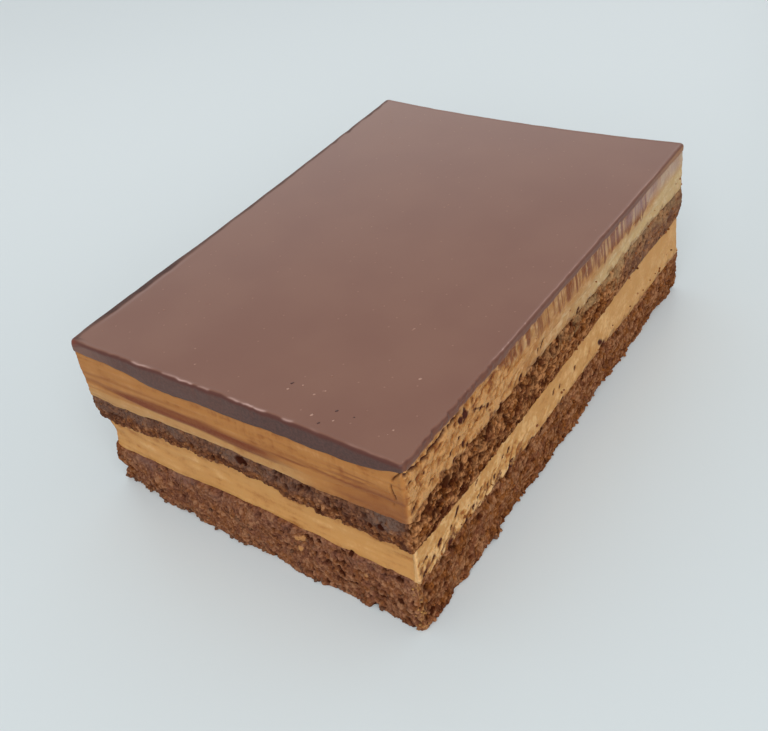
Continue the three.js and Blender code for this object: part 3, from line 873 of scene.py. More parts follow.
def paleness_of_cream(bar, x, y, z):
    """How pale the cream is, from 0 to 1: a clean band on the middle sponge, fading up the torn sides."""
    above = z - bar.middle_sponge_joint(x, y)
    clean = 0.4 * smoothstep(bar.pale_cream + 0.3, bar.pale_cream - 0.5, above) * smoothstep(18, 10, x)
    blotch = 0.2 * noise(x / 1.7, y / 1.7, z / 1.2, 441)
    fading = smoothstep(5.2, 1.2, above) * smoothstep(-24, 26, y) + blotch * smoothstep(-30, -10, y)
    between_hairs = (1.3 - hairs(y, z)) * smoothstep(26.2, 27.6, z)
    fading = fading + between_hairs * (0.2 * smoothstep(-24, -14, y) + 0.2 * smoothstep(-2, 12, y))
    fading = fading + 0.6 * smoothstep(31, 38, y)
    return np.clip(mix(clean, fading, bar.torn), 0, 1)


def painted_sheen_on_cream(bar, x, y, z):
    """A painted greyish sheen over the top of the torn cream, the stronger the further back."""
    strength = 0.15 * smoothstep(4, 14, y) + 0.3 * smoothstep(14, 28, y)
    return strength * smoothstep(25.8, 28.2, z) * bar.torn * (1 + 0.3 * noise(x / 1.5, y / 1.5, z / 2, 443))


def crack(bar, x, y, z):
    """The torn line in the cream round the front right edge, 1 along it and 0 beside it."""
    broken = smoothstep(-0.75, -0.35, noise(x / 0.9, y / 0.9, 0.5, 421))
    height = np.interp(y, CRACK_SIDE_PLACES, CRACK_SIDE_HEIGHTS) + 0.15 * noise(x, y / 0.7, 0.5, 423)
    near = smoothstep(0.44, 0.2, np.abs(z - height))
    level = near * broken * smoothstep(-30.5, -32.5, y) * (1 - bar.front) * (bar.x > 0)
    place = np.interp(-z, [-h for h in CRACK_HEIGHTS], CRACK_PLACES)
    place = place + 0.25 * noise(z / 0.7, 0.5, 0.5, 425)
    gaps = smoothstep(-0.35, 0.1, noise(z / 0.8, 0.5, 0.5, 427))
    down = bump(x, place, 0.15) * gaps * smoothstep(23.0, 23.8, z) * bar.front
    return np.maximum(level, down)


def slits(x, y, z, seed):
    """Short slits that lean far back, and a ring of painted shade round them.

    They are the middles of grains drawn out along the knife's way.
    """
    along, across = leaning(y, z, SLIT_LEAN)
    across = across + 0.12 * noise(x / 0.8, y / 0.8, z / 0.8, seed + 1)
    away, _, number = grains(0, along / 2.6, across, 0.95, seed)
    radius = 0.08 + 0.22 * number
    some = number > 0.38
    return smoothstep(radius, 0.6 * radius, away) * some, smoothstep(2.4 * radius, radius, away) * some


def smeared_crumbs(x, y, z, above, fraying, seed):
    """1 where crumbs of the sponge are smeared over the cream, up to a ragged reach above it, else 0.

    Fraying, from 0 to 1, draws the reach out along the knife's way.
    """
    along, across = leaning(y, z, FRAY_LEAN)
    fray = smoothstep(-0.1, 0.7, noise(x / 1.5, along / 2.4, across / 0.38, seed + 12))
    reach = 0.4 + noise(x / 1.1, y / 1.1, z / 1.1, seed + 6) + 1.5 * fray * fraying
    return smoothstep(reach, reach - 0.3, above)


def cream_relief(bar, seed, roughness, streaked, sponge_top):
    """The relief of a cut cream, and its marks.

    Clean sides have faint level brush lines, torn ones plastered ridges, slits and pits along the
    knife's way. Near the top of the sponge under it, the torn cream carries smeared crumbs. Only a
    streaked cream has chocolate in it. Each tone is a level plus noise of several sizes.
    """

    def relief(x, y, z, share):
        front_third = bar.right * smoothstep(-8, -24, y)
        rough = bar.torn * (0.2 + 0.8 * np.maximum(front_third, 0.7 * bar.back))
        rough = rough * (1 - 0.75 * (1 - streaked) * smoothstep(0.45, 0.7, share))
        combed = y - RIDGE_LEAN * z
        brushed = noise(x / 5, y / 5, z / 0.4, seed) + 0.6 * noise(x / 1.6, y / 1.6, z / 0.7, seed + 1)
        ridges = noise(x / 0.5, combed / 0.5, z / 1.6, seed + 2)
        grain = noise(x / 0.4, y / 0.55, z / 0.42, seed + 10)
        plaster = noise(x / 0.8, combed / 0.9, z / 0.8, seed + 3) + noise(x / 2, y / 2, z / 2, seed + 4)
        slitted = np.clip(1.6 * rough - 0.5, 0, 1)
        slit, stain_and_shade = (slitted * each for each in slits(x, y, z, seed + 5))
        depth, dark = pitted(bar, x, y, z, CREAM_PITS + RIGHT_PITS, seed)
        groove = crack(bar, x, y, z)
        uneven = roughness * rough * (0.09 * ridges + 0.12 * plaster + 0.09 * grain)
        move = mix(0.04 * brushed, 0.03 * brushed + uneven, bar.torn)
        move = move - 0.2 * slit - depth - 0.4 * groove + 0.15 * front_right_edge(bar)
        crumbs = smeared_crumbs(x, y, z, z - sponge_top(x, y), front_third * (1 - streaked), seed)
        blotch = noise(x / 2.6, y / 2.6, z / 2.2, seed + 7) + 0.5 * noise(x / 6, y / 6, z / 3, seed + 8)
        flecks = noise(x / 1.1, y / 1.1, z / 1.4, seed + 9)
        patches = noise(x / 1.2, y / 1.5, z / 1.2, seed + 11)
        upright = noise(x / 0.35, 0.5, z / 2.5, seed + 13) * bump(z, 26.4, 1.6) * smoothstep(-8, 0, x)
        shaded = 0.14 * smoothstep(0.55, 0.95, share) * (1 - streaked)
        # Painted highlight: a lighter line down the front right upright edge of the creams.
        on_edge = 0.38 * front_right_edge(bar) * smoothstep(7.0, 9.0, z) * smoothstep(23, 21, z)
        clean_tone = 0.48 + 0.1 * blotch + 0.13 * brushed + 0.08 * flecks - shaded
        clean_tone = clean_tone + 0.16 * upright * streaked
        texture = 0.1 * ridges + 0.22 * plaster + 0.44 * grain + 0.38 * patches
        texture = texture * (0.25 + 0.75 * rough) * (1 - 0.6 * smoothstep(8, 24, y) * bar.right)
        torn_tone = 0.6 + 0.08 * blotch - 0.4 * shaded + mix(0.08, 0.17, streaked) * front_third
        # Painted shade darkens the cream round the slits.
        torn_tone = torn_tone + texture - mix(0.55, 0.3, streaked) * stain_and_shade
        marks = {
            # Painted shade in the slits, the pits and the crack.
            "pit": np.clip(np.maximum(np.maximum(slit, dark), groove), 0, 1),
            "tone": np.clip(mix(clean_tone, torn_tone, bar.torn) + on_edge, 0, 1),
            "chocolate": streaked * chocolate_in_cream(bar, x, y, z),
            "pale": streaked * paleness_of_cream(bar, x, y, z),
            # Painted sheen: a greyish reflection high on the torn cream.
            "haze": streaked * painted_sheen_on_cream(bar, x, y, z),
            "crumb": np.clip(bar.torn * crumbs * (0.5 + 0.5 * rough), 0, 1),
            "rough": rough,
        }
        return move, marks

    return relief


# ---- Materials ----

# The grey of a painted sheen on the cream, greys that soaked crumb lays over a colour, and the cream dragged
# over the crumb.
PAINTED_CREAM_SHEEN = screen_colour(156, 134, 136)
BASE_FILM = screen_colour(124, 94, 86)
MIDDLE_FILM = screen_colour(108, 88, 78)
CRUMBS_FILM = screen_colour(100, 78, 64)
MIDDLE_SMEAR = screen_colour(176, 146, 104)


class Wire:
    """One socket of a recipe's nodes. Arithmetic on wires and numbers adds the Math nodes for it."""

    def __init__(self, recipe, socket):
        self.recipe = recipe
        self.socket = socket

    def maths(self, operation, *values, clamp=False):
        settings = {"operation": operation, "use_clamp": clamp}
        return self.recipe.node("ShaderNodeMath", settings, dict(enumerate(values)))

    def __add__(self, other):
        return self.maths("ADD", self, other)

    def __sub__(self, other):
        return self.maths("SUBTRACT", self, other)

    def __rsub__(self, other):
        return self.maths("SUBTRACT", other, self)

    def __mul__(self, other):
        return self.maths("MULTIPLY", self, other)

    __radd__ = __add__
    __rmul__ = __mul__

    def held(self):
        """The same value held between 0 and 1."""
        return self.maths("ADD", self, 0, clamp=True)

    def rise(self, start, end):
        """0 before start, 1 after end and a smooth step between."""
        settings = {"interpolation_type": "SMOOTHSTEP"}
        return self.recipe.node("ShaderNodeMapRange", settings, {0: self, 1: start, 2: end})


class Recipe:
    """A material, its nodes and its shader."""

    def __init__(self, name, constants):
        self.material = bpy.data.materials.new(name)
        self.material.use_nodes = True
        self.tree = self.material.node_tree
        self.tree.nodes.clear()
        self.shader = self.tree.nodes.new("ShaderNodeBsdfPrincipled")
        output = self.tree.nodes.new("ShaderNodeOutputMaterial")
        self.tree.links.new(self.shader.outputs[0], output.inputs[0])
        for socket, value in constants.items():
            self.shader.inputs[socket].default_value = value
        self.place = self.node("ShaderNodeTexCoord", {}, {}, "Object")

    def node(self, kind, settings, values, output=0):
        """Adds a node, sets its settings, then its sockets' values or links, and returns one output."""
        made = self.tree.nodes.new(kind)
        for setting, value in settings.items():
            setattr(made, setting, value)
        for socket, value in values.items():
            if isinstance(value, Wire):
                self.tree.links.new(value.socket, made.inputs[socket])
            else:
                made.inputs[socket].default_value = value
        return Wire(self, made.outputs[output])

    def mark(self, name):
        """A mark that the piece's mesh carries."""
        return self.node("ShaderNodeAttribute", {"attribute_name": name}, {}, "Fac")

    def mottle(self, millimetres, detail):
        """Noise from 0 to 1 whose patches measure so many millimetres."""
        scale = [1 / (MM * millimetres)] * 3
        place = self.node("ShaderNodeMapping", {}, {"Vector": self.place, "Scale": scale})
        return self.node("ShaderNodeTexNoise", {}, {"Vector": place, "Scale": 1.0, "Detail": detail})

    def speckles(self, millimetres, radius, share):
        """Specks seen from above, 1 inside and 0 outside, in that share of cells of the given size.

        A cell's speck is a disc about its middle, its radius given in cells.
        """
        scale = [1 / (MM * millimetres)] * 3
        place = self.node("ShaderNodeMapping", {}, {"Vector": self.place, "Scale": scale})
        flat = {"voronoi_dimensions": "2D"}
        away = self.node("ShaderNodeTexVoronoi", flat, {"Vector": place, "Scale": 1.0}, "Distance")
        own = self.node("ShaderNodeTexVoronoi", flat, {"Vector": place, "Scale": 1.0}, "Color")
        number = self.node("ShaderNodeSeparateColor", {}, {0: own}, 0)
        return (1 - away.rise(radius * 0.6, radius * 1.3)) * (1 - number.rise(share - 0.02, share + 0.02))

    def blend(self, share, first, second):
        """The first colour where share is 0 and the second where it is 1."""
        values = {0: share, 6: opaque(first), 7: opaque(second)}
        return self.node("ShaderNodeMix", {"data_type": "RGBA"}, values, 2)

    def tint(self, wire, factors):
        """A colour on a wire, each of its three parts multiplied by a factor."""
        settings = {"data_type": "RGBA", "blend_type": "MULTIPLY", "clamp_factor": False}
        return self.node("ShaderNodeMix", settings, {0: 1.0, 6: wire, 7: opaque(factors)}, 2)

    def bumped(self, height, millimetres):
        """A surface normal tilted by a height from 0 to 1 that stands for so many millimetres."""
        return self.node("ShaderNodeBump", {}, {"Height": height, "Distance": millimetres * MM})

    def finish(self, **links):
        """Links the shader's sockets; an underscore in a name stands for a space."""
        for name, wire in links.items():
            self.tree.links.new(wire.socket, self.shader.inputs[name.replace("_", " ")])
        return self.material


def opaque(value):
    """A colour with its alpha, or the wire that carries one."""
    return value if isinstance(value, Wire) else (*value[:3], 1.0)


def shade(rgb, factor):
    """A colour made lighter or darker by a factor for each of its three parts."""
    factors = factor if isinstance(factor, tuple) else (factor,) * 3
    return [min(1.0, part * f) for part, f in zip(rgb, factors)]


def sponge_material(name, crumb, film_colour, smear_colour, sparkle):
    """Chocolate crumb: painted shade in its hollows, brighter grains, a grey film and smeared cream in
    places.

    The brightest grains are the crumb's colour made lighter by the factor sparkle.
    """
    recipe = Recipe(name, {"Specular IOR Level": 0.06})
    grit = recipe.mottle(0.35, 4.0)
    patches = recipe.mottle(2.2, 2.0)
    hue = recipe.mottle(1.5, 2.0)
    tone = recipe.mark("tone") * 1.1 + grit * 1.2 + patches * 0.6 - 1.0
    warm = shade(crumb, (1.1, 1.04, 0.72))
    cool = shade(crumb, (0.92, 0.93, 1.25))
    middle = recipe.blend(hue.rise(0.35, 0.65), warm, cool)
    rgb = recipe.blend(tone.rise(0.1, 0.5), shade(crumb, (0.38, 0.29, 0.24)), middle)
    rgb = recipe.blend(tone.rise(0.5, 1.0), rgb, shade(crumb, (sparkle, sparkle * 1.32, sparkle * 1.8)))
    rgb = recipe.blend(recipe.mark("film") * (grit.rise(0.25, 0.6) * 0.6 + 0.35), rgb, film_colour)
    rgb = recipe.blend(recipe.mark("smear") * (grit.rise(0.2, 0.6) * 0.5 + 0.5), rgb, smear_colour)
    # Painted shade: the crevices, pores and pits darkened nearly to black.
    rgb = recipe.blend((recipe.mark("hollow") * 0.95).held(), rgb, shade(crumb, (0.16, 0.07, 0.03)))
    normal = recipe.bumped(grit, 0.3)
    roughness = 0.9 - recipe.mark("film") * 0.3
    return recipe.finish(Base_Color=rgb, Roughness=roughness, Normal=normal)


def cream_material(name, cream, pale, chocolate, crumb):
    """Coffee buttercream: satin, slightly soft to light, streaked with chocolate, with crumbs smeared in,
    painted shade in its slits, pits and crack and a painted sheen high on the torn sides.
    """
    constants = {
        "Subsurface Weight": 0.2,
        "Subsurface Radius": (1.0, 0.5, 0.25),
        "Subsurface Scale": 0.7 * MM,
        "Specular IOR Level": 0.2,
    }
    recipe = Recipe(name, constants)
    fine = recipe.mottle(0.4, 4.0)
    rough = recipe.mark("rough")
    tone = recipe.mark("tone") + (fine - 0.5) * (rough * 0.9 + 0.3)
    base = recipe.blend(recipe.mark("pale"), cream, pale)
    rgb = recipe.blend(tone.rise(0.1, 0.5), recipe.tint(base, (0.6, 0.42, 0.28)), base)
    rgb = recipe.blend(tone.rise(0.5, 0.95), rgb, recipe.tint(base, (1.35, 1.62, 2.3)))
    dragged = (recipe.mark("chocolate") * (0.75 + fine * 0.4)).held()
    rgb = recipe.blend(dragged, rgb, chocolate)
    # A painted greyish sheen over the top of the torn cream.
    rgb = recipe.blend(recipe.mark("haze"), rgb, PAINTED_CREAM_SHEEN)
    rgb = recipe.blend(recipe.mark("crumb") * fine.rise(0.25, 0.6), rgb, shade(crumb, 0.75))
    # Painted shade, dark brown, in the slits, pits and crack.
    rgb = recipe.blend(recipe.mark("pit"), rgb, shade(chocolate, (0.36, 0.22, 0.1)))
    normal = recipe.bumped(fine * (0.15 + rough * 0.85), 0.25)
    roughness = 0.5 + fine * 0.15
    return recipe.finish(Base_Color=rgb, Roughness=roughness, Normal=normal)


def glaze_material(name, glaze, cut, cream, chocolate):
    """Poured glaze: a satin top with faint clouds and dust, a dull cut side and a dark rim.

    Where the mark smear is 1 the cut side is cream and chocolate that the knife dragged over it.
    The rim's lip carries a painted highlight, and the mark warm paints a reddish highlight at the front left
    corner.
    """
    recipe = Recipe(name, {"Specular IOR Level": 0.5})
    cloud = recipe.mottle(14.0, 3.0)
    fine = recipe.mottle(0.4, 2.0)
    side = recipe.mark("cut")
    darker = shade(glaze, (0.96, 0.93, 0.93))
    lighter = shade(glaze, (1.04, 1.05, 1.04))
    top = recipe.blend(cloud.rise(0.3, 0.7), darker, lighter)
    dust = recipe.speckles(4.0, 0.035, 0.5) * 0.25
    top = recipe.blend(dust, top, shade(glaze, (2.4, 3.0, 3.3)))
    dull = recipe.blend(fine.rise(0.3, 0.7), shade(cut, 0.8), shade(cut, 1.22))
    rgb = recipe.blend(side, top, dull)
    rgb = recipe.blend(recipe.mark("rim") * 0.85, rgb, shade(glaze, (0.36, 0.16, 0.12)))
    # Painted highlight along the lip of the glaze's edge.
    rgb = recipe.blend(recipe.mark("lip_highlight"), rgb, shade(glaze, (2.7, 3.9, 5.2)))
    # Painted reddish highlight on the edge at the front left corner.
    rgb = recipe.blend(recipe.mark("warm"), rgb, shade(glaze, (1.1, 0.5, 0.35)))
    dragged = recipe.blend(recipe.mark("chocolate"), cream, chocolate)
    rgb = recipe.blend(recipe.mark("smear"), rgb, dragged)
    roughness = 0.27 + side * 0.35 + cloud * 0.05
    normal = recipe.bumped(fine * (0.12 + side * 0.88), 0.03)
    return recipe.finish(Base_Color=rgb, Roughness=roughness, Normal=normal)


# ---- Pieces ----


def settle(piece, slot, material, *nodes):
    """Gives a piece its material, makes it ride with the cake and stand for its CAD nodes; the slot is not
    used.
    """
    piece.data.materials.append(material)
    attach(piece, "root")
    if nodes:
        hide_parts(*nodes)


def with_edge(joint, amount, size, seed, calm_right=0.0, drop=0.0):
    """A joint between layers with a ragged edge, less so on the right, and lowered by drop."""

    def edge(x, y):
        calm = 1 - calm_right * smoothstep(28, 30.5, x)
        return joint(x, y) + calm * ragged(x, y, amount, size, seed) - drop

    return edge


class JointEdges:
    """The joints of a bar with their ragged edges, as the top of one layer and the foot of the next."""

    def __init__(self, bar):
        recipes = {
            "base_sponge": (bar.base_sponge_joint, 0.3, 1.8, 201),
            "lower_cream": (bar.lower_cream_joint, 0.34, 1.1, 211, 0.65),
            "middle_sponge": (bar.middle_sponge_joint, 0.2, 1.5, 221),
            "pale_cream": (bar.pale_cream_joint, 0.08, 3.5, 231),
            "streak": (bar.streak_joint, 0.08, 2.5, 241),
            "upper_cream": (bar.upper_cream_joint, 0.16, 2.0, 251),
        }
        for name, recipe in recipes.items():
            setattr(self, name + "_top", with_edge(*recipe))
            setattr(self, name + "_foot", with_edge(*recipe, drop=LAYER_OVERLAP))


def make_sponges(bar, colours):
    """The two sponges, the middle one more open and with cream dragged over its upper part."""
    edges = JointEdges(bar)
    relief = sponge_relief(
        bar,
        seed=11,
        lumps=0.8,
        openness=base_openness,
        film=base_film,
        smear=base_smear,
        foot=foot_moves(bar),
        calm_foot=0,
    )
    section = {"side_rows": 46, "rounding": 0.35, "stand": (0.2, 0.4, 0.4, 0.2)}
    piece = wrap_layer(bar, "base_crumb", bar.plate, edges.base_sponge_top, relief, **section)
    material = sponge_material("base_crumb", colours.base_crumb, BASE_FILM, colours.lower_cream, 1.75)
    settle(piece, "sponge", material, "base_sponge")
    relief = sponge_relief(
        bar,
        seed=37,
        lumps=0.65,
        openness=middle_openness,
        film=middle_film,
        smear=middle_smear,
        foot=0,
        calm_foot=1,
    )
    section = {"side_rows": 44, "rounding": 0.3, "stand": (0.1, 0.3, 0.3, 0.1)}
    foot = edges.lower_cream_foot
    piece = wrap_layer(bar, "middle_crumb", foot, edges.middle_sponge_top, relief, **section)
    material = sponge_material("middle_crumb", colours.middle_crumb, MIDDLE_FILM, MIDDLE_SMEAR, 2.3)
    settle(piece, "sponge", material, "middle_sponge")


# The sections of the creams and of the streak between the upper two.
LOWER_CREAM_SECTION = {
    "side_rows": 28,
    "rounding": 0.12,
    "stand": (-0.3, -0.7, -0.8),
    "torn_stand": (0.35, 0.15, -0.1),
}
PALE_CREAM_SECTION = {"side_rows": 9, "rounding": 0.08, "stand": (0.1, 0.1, 0)}
STREAK_SECTION = {"side_rows": 7, "rounding": 0.08, "stand": (0, 0.05, 0)}
UPPER_CREAM_SECTION = {"side_rows": 28, "rounding": 0.08, "stand": (0, 0.05, 0)}
# The node, the joints under and over it and that of the sponge below, then the section, the seed,
# how rough it is where torn and whether chocolate streaks it.
CREAM_LAYERS = (
    ("lower_cream", "base_sponge", "lower_cream", "base_sponge", LOWER_CREAM_SECTION, 71, 1, 0),
    ("pale_cream", "middle_sponge", "pale_cream", "middle_sponge", PALE_CREAM_SECTION, 73, 1, 1),
    ("chocolate_streak", "pale_cream", "streak", "middle_sponge", STREAK_SECTION, 83, 1, 1),
    ("upper_cream", "streak", "upper_cream", "middle_sponge", UPPER_CREAM_SECTION, 79, 1.3, 1),
)


def make_creams(bar, colours):
    """The three creams and the chocolate streak between the upper two."""
    edges = JointEdges(bar)
    for node, under, over, sponge, section, seed, roughness, streaked in CREAM_LAYERS:
        foot = getattr(edges, under + "_foot")
        top = getattr(edges, over + "_top")
        relief = cream_relief(bar, seed, roughness, streaked, getattr(edges, sponge + "_top"))
        name = node + "_layer"
        piece = wrap_layer(bar, name, foot, top, relief, **section)
        cream = colours.upper_cream if streaked else colours.lower_cream
        others = (colours.pale_cream, colours.chocolate, colours.middle_crumb)
        slot = "chocolate_streak" if node == "chocolate_streak" else "coffee_cream"
        settle(piece, slot, cream_material(name, cream, *others), node)


# ---- Glaze ----

GLAZE_FOOT_INSETS = (6.0, 2.0, 0.6, 0.1)  # rows on the glaze's foot, inwards from its edge
GLAZE_SIDE_ROWS = 9
GLAZE_EDGE_ROWS = 7
GLAZE_TOP_SHARES = (0.006, 0.012, 0.019, 0.026, 0.033, 0.042, 0.056, 0.08, 0.12, 0.18, 0.26, 0.4, 0.6, 0.8)
GLAZE_STAND = 0.15  # how far the cut side stands out of the cut
GLAZE_DIP = 0.03  # how far the top lies under its edge


class GlazeSurface:
    """The rows of a bar's glaze and the features of its edge, for its shape and for its marks.

    The rows run up the foot, the cut side and the edge, which is rounded by a quarter circle.
    share is how far up the side a row lies, arc its angle on the quarter circle and inset how far
    inside the cut it lies. The front's lip is nicked in its middle part, and the left side has a
    thick roll near the front.
    """

    def __init__(self, bar):
        self.bar = bar
        side = np.linspace(0, 1, GLAZE_SIDE_ROWS)
        turn = np.arange(1, GLAZE_EDGE_ROWS + 1) / GLAZE_EDGE_ROWS * math.pi / 2
        foot = np.zeros(len(GLAZE_FOOT_INSETS))
        self.share = np.concatenate([foot, side, np.ones(GLAZE_EDGE_ROWS)])[:, None]
        self.arc = np.concatenate([foot, 0 * side, turn])[:, None]
        self.inset = np.concatenate([GLAZE_FOOT_INSETS, 0 * side, 0 * turn])[:, None]
        self.height = self.arc / (math.pi / 2)
        self.on_edge = self.share >= 1
        self.from_left_edge = bar.from_edge(-1, -1)
        self.wobble = noise(bar.x / 1.6, bar.y / 1.6, 0.5, 501)
        nicks = noise(bar.x / 2.4, bar.y / 2.4, 0.5, 513)
        self.nicks = 0.8 * nicks + 0.6 * noise(bar.x / 0.8, bar.y / 0.8, 0.5, 514)
        self.nicked = bar.front * bump(bar.x, -3, 20)
        swollen = 0.75 + 0.35 * noise(bar.y / 5, 0.5, 0.5, 517)
        self.rolled = bar.left * smoothstep(-44.5, -38, bar.y) * smoothstep(-11, -24, bar.y) * swollen
        dark_left = bar.left * np.clip(0.65 + 0.3 * self.wobble + 0.4 * self.rolled, 0, 1)
        self.dark_left = np.maximum(dark_left, bump(self.from_left_edge, 0, 1.5))

    def side(self, foot):
        """The foot, the side and the edge: moved out by the roll, lumps and nicks, more so further up."""
        bar = self.bar
        rounding = 0.45 + 0.12 * self.wobble + 0.3 * self.rolled + 0.75 * bump(self.from_left_edge, 0, 2.2)
        x = bar.x - bar.out_x * self.inset
        y = bar.y - bar.out_y * self.inset
        low = foot(x, y)
        shoulder = np.maximum(bar.height - rounding, low + 0.15)
        z = mix(low, shoulder, self.share) + (bar.height - shoulder) * np.sin(self.arc)
        ripple = 0.06 * noise(bar.x / 3, bar.y / 3, z / 1.2, 503)
        lumps = noise(bar.x / 1.3, bar.y / 1.3, 0.5, 505)
        lumps = lumps + 0.8 * noise(bar.x / 0.55, bar.y / 0.55, z / 0.6, 506)
        lumps = 0.2 * lumps * bar.torn * mix(0.12, 1.0, smoothstep(-18, -27, bar.y))
        edge = LIP_STAND * self.rolled + lumps + 0.28 * self.nicks * self.nicked
        move = GLAZE_STAND + edge * np.sin(self.share * math.pi / 2) + ripple
        drawn_back = np.minimum(rounding, 0.85 * bar.corner_radius + 0.5 * self.rolled)
        move = move * (1 - smoothstep(*LEDGE_CALM, self.inset)) - drawn_back * (1 - np.cos(self.arc))
        x = x + bar.out_x * move + left_end(bar, z)
        y = y + bar.out_y * move + back_end(bar, z)
        return x, y, z

    def cut(self):
        """How much a point shows the dull cut: the side, and the edge at the left."""
        bar = self.bar
        paler = bar.front * (0.12 * smoothstep(10, -2, bar.x) + 0.35 * smoothstep(-19, -30, bar.x))
        cut = (1 - smoothstep(0.15, 0.75, self.height)) * (1 - 0.4 * bar.right - paler)
        return np.maximum(cut, self.dark_left * smoothstep(0.1, 0.4, self.height))

    def rim(self, x, y, z):
        """The dark rim right under the top, worn away in places on the right side."""
        bar = self.bar
        below = bar.height - z
        depth = 0.8 + 0.2 * noise(bar.x / 2, bar.y / 2, 0.5, 515) + 0.7 * bar.right
        band = smoothstep(depth, depth - 0.4, below)
        rim = smoothstep(0.0, 0.12, below) * band * self.on_edge
        rim = np.maximum(rim, 0.9 * band * (self.share > 0.3) * (self.share < 1))
        worn = 0.7 + 0.3 * noise(x / 0.7, y / 0.7, z / 0.5, 521)
        rim = mix(rim, rim * worn * mix(1, 0.65, smoothstep(-27, -18, y)), bar.right)
        rounded = bump(self.from_left_edge, 0.5, 2.5) * self.on_edge * smoothstep(1.0, 0.7, self.height)
        return np.maximum(rim, 0.8 * rounded)

    def lip_highlight(self):
        """The painted highlight along the edge: painted glints on the nicks in front, painted glints and a
        painted line on the right.
        """
        bar = self.bar
        glints = smoothstep(0.35, 0.75, noise(bar.x / 0.5, bar.y / 0.5, 0.5, 519)) * bar.right
        bright = smoothstep(-0.2, 0.4, self.nicks) * self.nicked
        bright = bright + 0.7 * glints * (0.4 + 0.6 * smoothstep(16, -6, bar.y))
        line = smoothstep(-25, -19, bar.y) * smoothstep(40, 32, bar.y) * bar.right
        bright = bright + line * (0.3 + 0.2 * noise(bar.x / 1.4, bar.y / 1.4, 0.5, 525))
        height = 0.85 + 0.15 * noise(bar.x / 1.1, bar.y / 1.1, 0.5, 523) * (1 - 0.6 * bar.right)
        return bump(self.height, height, mix(0.2, 0.12, bar.right)) * self.on_edge * np.clip(bright, 0, 1)

    def smear(self, x, y, z):
        """Where cream and chocolate were dragged or wiped over the side, and the chocolate's share."""
        bar = self.bar
        below = bar.height - z
        reach = below + 0.3 * noise(x / 0.7, y / 0.7, 0.5, 509)
        wiped = bar.right * smoothstep(0.1, 0.4, below) * (0.35 + 0.2 * smoothstep(30, 42, bar.y))
        dragged = bar.torn * smoothstep(1.0, 1.25, reach)
        stroke = np.clip(stroke_strength(y, z) * smoothstep(-27, -20, y), 0, 1)
        return np.maximum(dragged, wiped), mix(0.85 * smoothstep(40, 22, y), stroke, dragged)

    def marks(self, x, y, z):
        """The marks of the foot, the side and the edge."""
        # warm is a painted reddish highlight on the edge at the front left corner.
        warm = 0.6 * bump(self.from_left_edge, 0.3, 1.1) * bump(self.height, 0.6, 0.5) * self.on_edge
        smear, chocolate = self.smear(x, y, z)
        return {
            "cut": self.cut(),
            "rim": self.rim(x, y, z),
            "lip_highlight": self.lip_highlight(),
            "smear": smear,
            "chocolate": chocolate,
            "warm": warm,
        }

    def top(self, x, y):
        """The top, drawn in from the last row to the middle: a gentle swell, with a groove by the roll.

        Returns its points and how much they show the dull cut.
        """
        drawn = np.array(GLAZE_TOP_SHARES)[:, None]
        top_x = x[-1] * (1 - drawn)
        top_y = y[-1] * (1 - drawn)
        swell = 0.03 * noise(top_x / 11, top_y / 11, 0.5, 507) * smoothstep(0, 0.1, drawn)
        inside = drawn * self.bar.half_x
        roll = np.clip(self.rolled, 0, 1)
        swell = swell - 0.06 * roll * bump(inside, 0.9, 0.28)
        breadth = 0.6 + 0.3 * self.wobble + 0.55 * roll
        cut = self.dark_left * smoothstep(breadth, 0.5 * breadth, inside)
        return (top_x, top_y, self.bar.height - GLAZE_DIP + swell), cut


def make_glaze(bar, colours):
    """The glaze: its foot, cut side, rounded edge and top, in one closed mesh."""
    surface = GlazeSurface(bar)
    side = surface.side(JointEdges(bar).upper_cream_foot)
    marks = surface.marks(*side)
    top, top_cut = surface.top(*side[:2])
    still = np.zeros(top_cut.shape)
    marks = {mark: np.concatenate([values, still]) for mark, values in marks.items()}
    marks["cut"][-len(top_cut) :] = top_cut
    points = (np.concatenate(pair) for pair in zip(side, top))
    piece = closed_layer("glaze_coat", *bar.bend(*points), marks)
    others = (colours.glaze_cut, colours.upper_cream, colours.chocolate)
    settle(piece, "glaze", glaze_material("glaze_coat", colours.glaze, *others), "glaze")


# ---- Crumbs and specks ----

LUMP_ROWS = 4
LUMP_COLUMNS = 8


